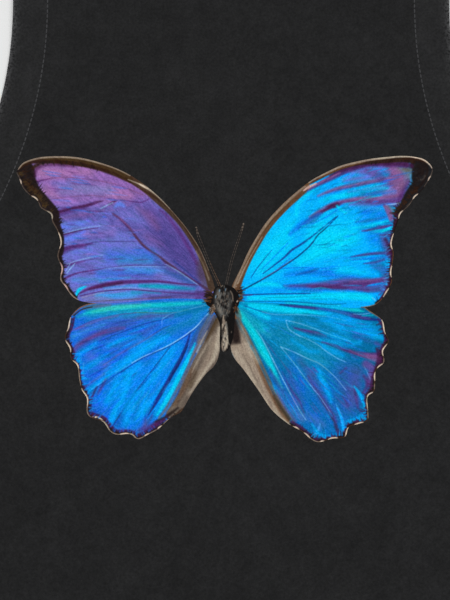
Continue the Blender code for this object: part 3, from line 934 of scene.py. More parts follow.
# %% Left forewing
LEFT_FOREWING = (
    (214, 285), (208, 268), (200, 249), (190, 233), (180, 220), (160, 198), (140, 181.5),
    (120, 170), (100, 162.7), (80, 157.8), (60, 156.3), (40, 157.4), (25, 162), (18.8, 168.3),
    (17, 173), (19.2, 178), (22.6, 187), (28.7, 194), (37.5, 200.4), (41.2, 208), (50.8, 214),
    (52.7, 222), (58, 231.7), (60.8, 243), (57.6, 256), (61.7, 267.5), (60.4, 279), (65, 286),
    (76, 299), (99.5, 303.5), (134, 301.5), (172, 298.5), (214, 298),
)
LEFT_FOREWING_STROKES = (
    ("lilac", 1, 30, (60, 175, 60), (130, 180, 60)),
    ("rose", 0.55, 14, (40, 172, 14), (52, 172, 10), (90, 172, 6)),
    ("rose", 0.45, 12, (112, 194, 12), (128, 196, 10)), ("rose", 0.45, 10, (46, 192, 12), (56, 196, 6)),
    ("steel", 0.75, 12, (62, 189, 8), (80, 189, 12), (108, 190, 8)),
    ("periwinkle", 0.5, 8, (54, 183, 4), (68, 184, 6)), ("lilac", 0.8, 10, (56, 203, 6), (88, 199, 5)),
    ("violet", 0.7, 14, (66, 214, 8), (100, 214, 10), (140, 206, 14)),
    ("periwinkle", 0.75, 18, (100, 216, 8), (150, 208, 8)),
    ("violet", 0.9, 16, (150, 212, 16), (175, 240, 30), (200, 275, 14)),
    ("dusk", 0.85, 14, (160, 235, 20), (178, 255, 22), (196, 274, 10)),
    ("violet", 0.6, 12, (112, 222, 6), (142, 232, 16), (150, 243, 8)),
    ("lilac", 0.45, 10, (86, 234, 5), (112, 232, 8)),
    ("violet", 0.5, 6, (74, 243, 3), (92, 238, 4), (112, 236, 3)),
    ("mauve", 0.45, 8, (138, 208, 5), (150, 218, 8), (158, 228, 5)),
    ("mauve", 0.3, 10, (146, 236, 5), (160, 244, 6)), ("royal", 0.3, 10, (140, 250, 5), (158, 262, 5)),
    ("violet", 0.5, 7, (70, 262, 4), (92, 268, 5), (84, 274, 4)),
    ("mauve", 0.5, 5, (62, 218, 3), (88, 214, 3), (104, 210, 1)),
    ("dusk", 0.35, 5, (92, 219, 2), (108, 216, 4), (112, 224, 3)),
    ("dusk", 0.5, 5, (156, 262, 4), (170, 270, 5), (184, 277, 4)),
    ("bluebell", 0.85, 4, (64, 227, 5), (76, 224, 5), (90, 220, 3)),
    ("violet", 0.5, 6, (64, 219, 4), (90, 217, 5)),
    ("bluebell", 0.95, 4, (115, 207, 2), (119, 204, 5), (124, 206, 3)),
    ("bluebell", 0.9, 5, (66, 238, 8), (74, 236, 7), (84, 231, 3)),
    ("bluebell", 0.6, 6, (74, 252, 4), (90, 250, 4)), ("royal", 0.45, 14, (110, 256, 12), (150, 256, 10)),
    ("teal", 0.5, 10, (120, 260, 6), (150, 261, 5)), ("royal", 0.55, 10, (100, 274, 8), (150, 273, 8)),
    ("sky", 0.6, 6, (126, 269, 4), (150, 270, 5), (164, 271, 2)),
    ("storm", 0.8, 6, (166, 272, 3), (182, 278, 6), (196, 286, 4)),
    ("violet", 0.45, 5, (120, 276, 3), (160, 277, 3)), ("sky", 0.5, 6, (74, 280, 4), (100, 279, 3)),
    ("mauve", 0.9, 1.6, (30, 182, 2), (45, 179.5, 2), (55, 178, 1.5), (70, 177.5, 1), (85, 179, 1),
     (100, 181, 1), (115, 184, 1.2), (128, 189, 1.4), (143, 195, 1)),
    ("plum", 0.8, 1.6, (36, 182.5, 2), (42, 180.5, 1.4), (50, 178.8, 0.5)),
    ("mauve", 0.75, 1.6, (48, 200, 1.6), (60, 198, 1.4), (75, 196.5, 1), (90, 195.5, 1), (105, 197, 1)),
    ("plum", 0.7, 1.4, (105, 198, 0.6), (118, 200, 1), (128, 201, 1), (140, 202.5, 1.2), (145, 201, 1),
     (149, 199, 1)),
    ("plum", 0.6, 3, (56, 214, 7), (70, 210, 6), (86, 206, 4), (96, 203, 2)),
    ("plum", 0.5, 3, (60, 237, 5), (70, 234, 3), (82, 231, 1)),
    ("plum", 0.5, 3, (61, 267, 5), (72, 264, 3), (84, 261, 1)),
    ("plum", 0.5, 3, (61, 252, 7), (72, 248, 5), (86, 246, 2)),
    ("damson", 0.75, 2.2, (57, 213, 3), (70, 209, 2.5), (85, 206, 2.5), (96, 202.5, 2.5),
     (103, 201, 0.6)),
    ("damson", 0.7, 1.6, (108, 205.5, 1), (113, 202, 2.2), (117, 200.5, 1)),
    ("ice", 0.6, 1.4, (101, 208.5, 1), (108, 205, 1.2), (113, 202.6, 1)),
    ("ice", 0.45, 1.4, (62, 234.5, 1), (75, 230.5, 1.1), (90, 227, 1), (101, 226, 0.8)),
    ("damson", 0.8, 1.5, (60, 235.5, 2), (68, 233.5, 1.2), (80, 230.5, 0.8), (98, 228, 0.5)),
    ("plum", 0.85, 2.5, (62, 250, 4), (72, 247, 3.5), (85, 245, 2), (92, 243, 1)),
    ("dusk", 0.8, 1.5, (85, 245, 1), (100, 241.7, 1), (136, 241.5, 1)),
    ("ice", 0.5, 1.4, (66, 264.5, 0.8), (78, 260.5, 1), (90, 257.5, 1), (103, 255, 0.8)),
    ("plum", 0.6, 1.5, (64, 267, 1.6), (76, 263, 0.8), (98, 258, 0.5)),
    ("ice", 0.75, 1.3, (67, 273, 0.8), (71, 268, 1.1), (75, 263.5, 0.8)),
    ("ice", 0.6, 1.2, (66, 271, 0.7), (70, 264, 0.9)),
    ("plum", 0.85, 1.8, (64, 279, 2.6), (72, 275, 2), (80, 272.5, 1.4), (95, 270, 1.1), (105, 268, 1)),
    ("dusk", 0.8, 1.4, (105, 268, 1), (120, 266.3, 1), (130, 265.5, 1), (150, 265.3, 1),
     (166, 265.5, 1), (178, 271, 0.8)),
    ("ice", 0.4, 1.2, (104, 269, 0.6), (125, 266.8, 0.8), (150, 266.6, 0.8), (166, 267, 0.8)),
    ("sky", 0.7, 3, (100, 281, 2), (110, 279, 2), (130, 277.5, 1.2)),
    ("plum", 0.95, 2, (78, 294, 1.6), (90, 288.5, 3), (100, 286, 4), (115, 283.5, 5), (130, 282, 4),
     (145, 281.5, 3), (160, 281.5, 2.6), (182, 284, 1.6), (200, 285, 1)),
    ("damson", 0.7, 2, (90, 289, 2), (105, 285.5, 3), (122, 283, 2.5)),
    ("sky", 0.7, 4, (104, 288, 1), (125, 286, 3), (145, 286, 3)),
    ("teal", 1, 4, (140, 286, 3), (160, 286, 4), (180, 288, 4), (194, 289, 2)),
    ("turquoise", 0.45, 4, (150, 287, 2), (172, 288, 3)),
    ("aqua", 0.9, 2.4, (76, 297, 2), (79, 290, 3.4), (86, 286.4, 1)),
    ("sky", 0.95, 6, (98, 296, 6), (125, 295, 7), (140, 294, 4)),
    ("teal", 0.7, 4, (132, 292, 2.4), (160, 293, 2)),
    ("steel", 0.7, 5, (84, 299, 3), (100, 298, 4), (112, 300, 2)),
    ("dusk", 0.85, 4, (150, 298, 3), (176, 297, 5), (196, 297, 6)),
    ("steel", 0.4, 3, (160, 298, 1), (184, 298, 3), (198, 298, 2)),
    ("plum", 0.6, 4, (196, 298, 3), (204, 297, 6), (209, 296, 6)),
    ("damson", 0.6, 3, (196, 292, 2), (208, 293, 4)),
    ("ice", 0.4, 1.4, (105, 289.4, 0.8), (130, 287.8, 1), (150, 289.4, 0.8)),
    ("plum", 0.85, 1.4, (80, 296, 1), (93, 293, 1), (105, 291, 1), (130, 289.5, 1), (150, 291, 1),
     (170, 292.5, 1.2), (190, 293.5, 2), (208, 295, 2.4)),
    ("blush", 0.4, 1.5, (82, 297.5, 1), (94, 294.5, 1), (104, 292.5, 0.6)),
    ("brown", 0.5, 1.5, (84, 302, 1), (120, 300, 1), (146, 298.5, 1), (170, 297, 1)),
    ("damson", 0.7, 2.2, (113, 214, 2), (120, 219, 2), (130, 229, 2.4), (142, 244, 2.6), (152, 252, 2),
     (160, 257, 2), (166, 262.5, 3), (174, 267.5, 2), (184, 274, 2), (195, 281, 2), (208, 290, 3)),
    ("brown", 0.35, 1.6, (130, 229, 1), (142, 244, 1.4), (160, 257, 1.4), (176, 268, 1.2)),
    ("ice", 0.55, 1.2, (166, 264.5, 0.8), (177, 270.5, 1.1), (188, 278, 1), (198, 285, 0.8)),
    ("mauve", 0.6, 1.6, (113, 214, 1.4), (121, 219, 1.6), (131, 228.6, 1.6)),
    ("plum", 0.7, 3.5, (160, 210, 2), (168, 217, 3), (180, 233, 3.5), (190, 250, 3.5), (197, 264, 3)),
    ("navy", 0.55, 2, (174, 261, 1.5), (186, 271, 1.5), (200, 283, 1.5)),
    ("soot", 0.95, 1.6, (25, 163, 6), (19, 170, 6), (21, 180, 6), (30, 193, 6), (40, 203, 6),
     (52, 216, 6), (55, 226, 5), (59.6, 236, 4.5), (61, 246, 4.5), (58.6, 256, 5), (61.6, 267, 4),
     (61, 279, 4), (66, 287, 4), (76, 298, 3)),
    ("soot", 0.96, 2.2, (22, 168, 12), (27, 170, 15), (29, 180, 14), (34, 190, 12), (44, 199, 8),
     (51, 207, 8), (55, 214, 9), (56, 222, 7), (61, 232, 4), (62.5, 240, 3)),
    ("dark brown", 0.85, 3, (33, 168, 4), (40, 163.6, 4), (50, 161.4, 4.4), (62, 162, 5),
     (74, 163.6, 4), (86, 165.4, 3), (98, 168, 2)),
    ("damson", 0.6, 3, (35, 176, 3), (37, 169, 3), (46, 165.4, 2.4), (60, 165, 2.6), (74, 167, 1.6)),
    ("olive brown", 0.8, 4, (27, 182, 6), (32, 187, 5), (40, 196, 5), (46, 204, 4)),
    ("dark brown", 0.95, 2, (20, 168, 3), (30, 162, 5), (45, 159.5, 7), (62, 160, 8), (84, 162.6, 9),
     (100, 167, 8), (116, 172.6, 8), (130, 180, 6)),
    ("olive brown", 0.9, 1.8, (20, 167, 2), (30, 160.6, 2), (45, 158, 4), (60, 157.6, 5),
     (80, 159.4, 6), (100, 164, 8), (110, 167.5, 9), (120, 171.6, 11.5), (130, 176.6, 11),
     (140, 182.8, 11), (150, 190, 11.5), (160, 199, 11.5), (170, 209, 9.5), (180, 220.6, 8),
     (190, 234, 8), (200, 250, 9), (208, 269, 10), (213, 286, 11)),
    ("dark brown", 0.8, 1.6, (60, 161.2, 1.4), (80, 163.6, 1.8), (100, 168.5, 2), (112, 172.6, 2.4),
     (124, 178, 1.6), (138, 187.5, 1)),
    ("dark brown", 0.6, 1.6, (140, 189, 1), (152, 195.5, 2), (168, 208, 1.5), (185, 228, 1.5),
     (198, 248, 1.5)),
    ("pale tan", 0.9, 1.2, (128, 179.5, 0.6), (138, 183.5, 1.2), (143, 186, 2.2), (150, 190, 2),
     (158, 196.4, 1.4), (170, 208.4, 1.2)),
    ("cream", 0.8, 1.2, (139, 183.8, 0.8), (144, 186.6, 1.2), (148, 189, 0.6)),
    ("pale tan", 0.5, 1.6, (196, 251, 0.8), (203, 264, 1.2), (209, 280, 1.5)),
    ("soot", 0.9, 1.6, (62.5, 238, 3.4), (62.5, 250, 3.4), (60, 257, 4.2), (63, 268, 2.6),
     (62.5, 279, 3), (67, 286, 2.6), (76, 297, 2)),
    ("dusk", 0.35, 9, (206, 296, 6), (190, 292, 8), (160, 296, 6), (140, 297, 4)),
    ("olive brown", 0.45, 7, (208, 292, 4), (202, 276, 8), (200, 262, 6)),
    ("storm", 0.4, 6, (152, 250, 3), (160, 264, 5), (168, 272, 3)),
)
LEFT_FOREWING_SHEEN = (
    (500, 240), (46, 170), (150, 294), ("violet", "bluebell", "lilac", "royal", "plum"), 130
)
LEFT_FOREWING_SCALES = (
    ("dark brown", 0.7, 30, 8, 6, 13.5, 17.8),
    ("soot", 0.8, 40, 11, 6, 13.5, 18),
    ("soot", 0.8, 44, 6, 5, 17.5, 22),
    ("soot", 0.7, 50, 2.5, 4, 22, 28),
    ("soot", 0.6, 60, 7, 3, 8, 13),
    ("olive brown", 0.6, 30, 3, 6, 14, 20),
)
LEFT_FOREWING_EDGE = (
    ("soot", 0.9, 2, (13.5, 28)),
    ("brown", 0.6, 1.4, (17, 28)),
    ("tan", 0.85, 3.4, (6.5, 13.1)), ("tan", 0.6, 1.6, (0.9, 4.8)),
    ("taupe", 0.75, 2, (14.0, 17.1), (18.2, 19.9), (20.6, 22.0), (23.1, 24.6)),
    ("cream", 0.9, 2.6, (15.2, 15.6), (17.4, 18.0), (22.1, 23.4)), ("pale tan", 0.9, 2.6, (19.6, 20.6)),
    ("blush", 0.9, 2.8, (24.6, 25.6), (26.8, 27.4)), ("tan", 0.9, 2.4, (25.6, 26.8), (27.4, 28.1)),
)
print("Left forewing:", len(LEFT_FOREWING_STROKES), "strokes")


# %% [markdown]
# The left hindwing is a clear electric blue, with a green-blue band where it slips under the forewing.
# Its rear edge has no blue scales: it folds down beside the body and is plain tan.

# %% Left hindwing
LEFT_HINDWING = (
    (216, 297), (172, 297.5), (134, 300.5), (99.5, 302.5), (82, 306), (71, 316.5), (68, 328),
    (65, 338.5), (70, 349), (71, 358.5), (77.5, 366), (79.4, 379.6), (82, 390), (87, 398.7),
    (87, 412), (92, 418), (103, 421.7), (110, 431), (117, 434.5), (130, 434), (138, 439),
    (147, 435), (158, 429), (167, 421), (173, 416), (181, 411.6), (187.6, 400.6), (194, 390),
    (201, 380), (207, 372.6), (213.6, 366.4), (218, 358), (220, 346), (220.6, 330),
)
LEFT_HINDWING_STROKES = (
    ("azure", 0.8, 26, (172, 352, 20), (150, 398, 36), (128, 420, 20)),
    ("azure", 0.9, 14, (138, 366, 8), (120, 384, 14), (106, 400, 10)),
    ("azure", 0.6, 12, (160, 336, 5), (146, 342, 8), (132, 350, 5)),
    ("teal", 0.85, 16, (206, 306, 12), (150, 312, 14), (92, 312, 12)),
    ("teal", 0.6, 16, (196, 318, 12), (170, 328, 12)),
    ("violet", 0.45, 12, (150, 318, 6), (110, 324, 8), (84, 330, 8)),
    ("royal", 0.55, 12, (150, 322, 6), (118, 325, 8), (90, 330, 8)),
    ("periwinkle", 0.3, 10, (150, 334, 6), (110, 346, 8)),
    ("periwinkle", 0.4, 10, (90, 356, 8), (106, 366, 8)),
    ("teal", 0.7, 3.5, (212, 302, 3), (160, 305, 6), (120, 309, 8), (90, 313, 6), (78, 317, 3)),
    ("turquoise", 0.85, 3.5, (200, 303, 2.5), (160, 305, 4), (120, 307.5, 5), (96, 311, 4),
     (84, 314, 1)),
    ("sea green", 0.6, 3.5, (150, 305, 1.5), (122, 307, 4), (104, 309.5, 4), (92, 312, 1)),
    ("turquoise", 0.5, 3, (190, 310, 1), (160, 311.5, 1.6), (128, 312, 1)),
    ("deep teal", 0.55, 5, (208, 306, 4), (190, 311, 4), (176, 316, 4)),
    ("deep teal", 0.4, 8, (194, 322, 4), (172, 330, 6), (150, 340, 4)),
    ("violet", 0.6, 5, (172, 316, 3), (150, 316, 3), (138, 318, 2)),
    ("periwinkle", 0.5, 4, (140, 303, 1.5), (112, 304, 2), (96, 307, 2)),
    ("dusk", 0.45, 8, (134, 322, 4), (110, 330, 9), (88, 340, 9), (76, 350, 5)),
    ("violet", 0.75, 4, (124, 328, 3), (108, 331, 5), (94, 336, 4), (78, 345, 4), (74, 352, 2)),
    ("dusk", 0.4, 5, (158, 325, 2), (146, 330, 3), (132, 334, 3)),
    ("azure", 0.6, 6, (140, 336, 4), (124, 340, 6), (108, 346, 5)),
    ("azure", 0.55, 5, (108, 354, 3), (96, 362, 6), (86, 368, 5)),
    ("royal", 0.7, 12, (150, 420, 8), (124, 430, 6)),
    ("royal", 0.5, 8, (178, 352, 4), (166, 372, 8), (150, 396, 8)),
    ("plum", 0.45, 3, (112, 330, 1.5), (96, 335.5, 2), (80, 344, 1.5)),
    ("mauve", 0.5, 3, (118, 316, 1), (100, 320, 1.5), (84, 326, 2), (72, 330, 2)),
    ("sky", 0.5, 4, (104, 324, 3), (86, 331, 4), (74, 336, 5)),
    ("azure", 0.6, 6, (96, 343, 3), (78, 356, 5), (80, 362, 4)),
    ("azure", 0.85, 7, (168, 336, 2), (150, 346, 7), (132, 358, 8), (112, 372, 7), (96, 385, 5),
     (88, 392, 2)),
    ("navy", 0.3, 5, (148, 334, 2), (130, 340, 3), (112, 347, 2)),
    ("mauve", 0.4, 2.5, (160, 330, 1), (148, 338, 1.4), (130, 348, 1.6), (118, 355, 1.8), (104, 365, 1)),
    ("violet", 0.5, 3, (104, 374, 2), (92, 382, 1.5), (86, 386, 1)),
    ("royal", 0.6, 6, (110, 386, 4), (100, 405, 6)), ("royal", 0.5, 5, (124, 378, 1.6), (112, 396, 2.4)),
    ("navy", 0.4, 6, (134, 392, 3), (124, 410, 6), (118, 424, 6)),
    ("navy", 0.35, 6, (142, 398, 3), (132, 418, 5)),
    ("plum", 0.6, 3, (106, 379, 2), (101, 388, 3), (98, 394, 1)),
    ("damson", 0.65, 2.6, (97, 387, 1.4), (92, 397, 2.4), (90, 408, 3)),
    ("azure", 0.8, 5, (130, 380, 2), (122, 398, 6), (114, 414, 7), (110, 424, 4)),
    ("sky", 0.8, 1.6, (84, 363, 1), (83, 371, 1.6), (84, 378, 1)),
    ("violet", 0.5, 4, (120, 429, 2), (132, 431, 2), (140, 431, 2)),
    ("ice", 0.55, 1.3, (212, 303.6, 0.8), (200, 306.6, 1), (190, 309, 1), (178, 312, 1),
     (172, 313, 0.8)),
    ("taupe", 0.5, 1.5, (176, 312.6, 0.8), (160, 313, 1), (145, 312.6, 1), (134, 312.6, 0.8)),
    ("violet", 0.6, 1.5, (136, 312.8, 1), (124, 314, 1), (110, 316.5, 1), (92, 321, 1), (76, 329, 1)),
    ("navy", 0.6, 1.4, (174, 314, 1), (163, 319.4, 1), (150, 322.4, 1), (140, 325.4, 1), (125, 331, 1),
     (112, 336, 0.8), (100, 341, 0.6)),
    ("ice", 0.45, 1.2, (172, 313.6, 0.7), (163, 318.6, 0.9), (162, 326, 0.7)),
    ("navy", 0.7, 1.5, (208, 315, 0.6), (198, 326.6, 0.8), (190, 333, 1.2), (178, 341, 1),
     (168, 347, 1), (154, 353, 1.2), (142, 358.6, 1), (130, 366, 1), (114, 376, 0.8), (98, 386.6, 1),
     (90, 393, 1)),
    ("ice", 0.85, 1.2, (213, 309, 1), (205, 317, 1.3), (198, 325, 1.3), (190, 331.6, 1.1),
     (180, 338.6, 1), (168, 345.6, 0.9), (155, 351.6, 0.8), (143, 356.8, 0.8), (132, 363, 0.8)),
    ("ice", 0.3, 1.2, (132, 363, 0.7), (112, 375, 0.8), (92, 389, 0.8)),
    ("navy", 0.65, 1.5, (170, 347, 1), (161, 358.6, 1), (151, 371.6, 1), (140, 386, 1.1),
     (129, 402, 1.2), (119, 416, 1.2), (112, 428, 1.6)),
    ("deep teal", 0.8, 4, (208, 316, 2), (200, 328, 4), (194, 338, 3)),
    ("navy", 0.95, 2, (190, 333, 1), (187, 344, 2.6), (181, 358, 3.6), (174, 371, 4.4), (166, 385, 4),
     (157, 400, 4), (150, 411, 3.4), (144, 420, 1.6)),
    ("ink blue", 0.55, 1.6, (188, 345, 0.8), (181, 360, 1.6), (174, 372, 1.8), (166, 386, 1)),
    ("royal", 0.8, 3, (152, 404, 1.5), (146, 416, 3), (140, 430, 2)),
    ("storm", 0.85, 4, (206, 318, 4), (200, 330, 6), (194, 342, 7), (190, 352, 4)),
    ("aqua", 0.8, 3, (195, 343, 1), (189, 357, 4), (181, 373, 5), (173, 389, 5), (165, 403, 4.4),
     (157, 415, 2)),
    ("storm", 0.7, 3, (152, 416, 3), (146, 426, 4)), ("damson", 0.8, 5, (158, 422, 4), (152, 428, 7)),
    ("violet", 0.6, 4, (146, 420, 2), (144, 428, 5)),
    ("taupe", 0.6, 3, (210, 316, 4), (206, 324, 4), (201, 333, 4), (198, 342, 3)),
    ("tan", 0.4, 2, (200, 340, 2), (195, 350, 3), (190, 360, 2)),
    ("taupe", 0.5, 4, (84, 308, 3), (96, 306, 4), (110, 305, 2)),
    ("taupe", 1, 3, (219, 322, 10), (214, 345, 22), (203, 366, 23), (191, 388, 20), (182, 402, 15),
     (172, 414, 12)),
    ("tan", 0.75, 6, (216, 336, 6), (213, 350, 9), (206, 364, 7), (196, 380, 5), (188, 394, 3)),
    ("taupe", 0.7, 4, (200, 360, 4), (192, 378, 7), (188, 388, 7), (182, 396, 5)),
    ("olive brown", 0.35, 4, (196, 372, 3), (190, 386, 5)),
    ("pale tan", 0.8, 3, (219, 328, 3), (218, 344, 5), (214, 358, 4), (205, 371, 3), (196, 384, 2),
     (190, 393, 1.4)),
    ("olive brown", 0.75, 6, (218, 316, 4), (212, 328, 5), (206, 340, 2)),
    ("brown", 0.5, 5, (192, 370, 3), (184, 388, 4), (174, 404, 4)),
    ("pale tan", 0.6, 3, (212, 336, 1), (204, 350, 2), (198, 360, 2), (192, 372, 1)),
    ("orange brown", 0.55, 2.4, (214, 315, 1.6), (206, 329, 1.6), (199, 344, 2), (192, 358, 2.4),
     (184, 376, 3), (176, 391, 3), (167, 407, 2.6), (159, 418, 2)),
    ("brown", 0.6, 1.8, (215, 316, 2), (208, 330, 2.4), (201, 344, 2)),
    ("pale tan", 0.7, 2, (207, 331, 1), (202, 341, 2), (197, 352, 1.6)),
    ("soot", 0.8, 2.5, (178, 408, 2), (171, 413, 3), (164, 418, 3), (156, 422, 3)),
    ("dark brown", 0.7, 2, (182, 410, 3), (175, 415, 2)),
    ("ice", 0.6, 1.4, (184, 410, 0.8), (177, 414.4, 1), (170, 418, 1.8), (168, 420, 1.4)),
    ("damson", 0.85, 2.2, (74, 318, 2), (72, 327, 2.4), (68.4, 335, 3), (69, 343, 3), (73.6, 352, 3),
     (73.4, 359, 2.4), (79.6, 368, 2), (80.6, 380, 2), (84.6, 390, 3), (89, 399, 3), (89.6, 411, 4),
     (95, 414.6, 3), (104, 418, 3.4), (111, 427, 4), (118, 431.4, 3.6), (130, 431.4, 3.4),
     (138, 435.6, 4), (147, 431, 4), (156, 425, 4), (164, 420, 3)),
    ("soot", 0.9, 1.6, (72, 319, 1), (68.6, 331, 2), (66, 338, 2.6), (71.4, 348, 2.6), (72.6, 358, 2),
     (78.6, 366.5, 1.6), (80, 379, 1.6), (83.6, 390, 2), (88, 399, 2), (88.4, 412, 4), (94, 416.4, 2),
     (104, 420.4, 2.4), (111, 429.6, 3), (118, 433, 2.4), (130, 433, 2.2), (138, 437.4, 2.6),
     (148, 433, 3), (164, 424, 3), (172, 417, 1.5)),
    ("dark brown", 0.8, 1.4, (92, 307, 1), (82, 309.4, 1.2), (74, 315.4, 1.6)),
    ("cream", 1, 0.9, (92.6, 416.8, 1.5), (98, 417.4, 1.7), (103, 420.4, 1)),
    ("deep teal", 0.5, 8, (206, 306, 4), (190, 310, 7), (172, 312, 5)),
    ("royal", 0.5, 6, (190, 316, 4), (174, 322, 6), (158, 328, 4)),
    ("navy", 0.4, 6, (92, 400, 2), (90, 408, 4), (98, 414, 3)),
    ("plum", 0.5, 5, (140, 430, 4), (150, 428, 6), (160, 422, 4)),
    ("azure", 0.6, 7, (136, 392, 4), (128, 404, 8), (124, 412, 5)),
)
LEFT_HINDWING_SHEEN = (
    (214, 302), (74, 308), (182, 424), ("azure", "royal", "sky", "royal", "navy"), 150
)
LEFT_HINDWING_SCALES = (
    ("damson", 0.6, 60, 2, 5, 5, 23.4),
    ("soot", 0.8, 60, 1, 4, 5, 24.5),
    ("azure", 0.6, 26, 3, 8, 8, 14),
    ("royal", 0.5, 30, 3, 6, 14, 22),
)
LEFT_HINDWING_EDGE = (
    ("soot", 0.9, 2.4, (5, 25.4)),
    ("brown", 0.7, 1.4, (5, 25.4)),
    ("orange brown", 0.8, 2.6, (3.0, 4.9)),
    ("cream", 0.9, 2.6, (5.1, 6.2), (7.2, 8.3), (9.4, 10.3), (11.9, 13.6), (18.2, 18.9),
     (20.8, 21.2), (22.0, 22.4)),
    ("tan", 0.9, 1.8, (10.3, 11.5), (13.6, 14.8), (16.9, 18.2), (19.6, 20.7), (21.3, 21.9), (22.6, 23.2)),
    ("pale tan", 0.9, 2.5, (15.9, 16.9), (19.0, 19.6)),
)
print("Left hindwing:", len(LEFT_HINDWING_STROKES), "strokes")


# %% [markdown]
# The right forewing faces the light and is the brightest part of the print: pale turquoise near the
# leading edge, azure in the middle, with plum-coloured folds between the veins towards the margin.

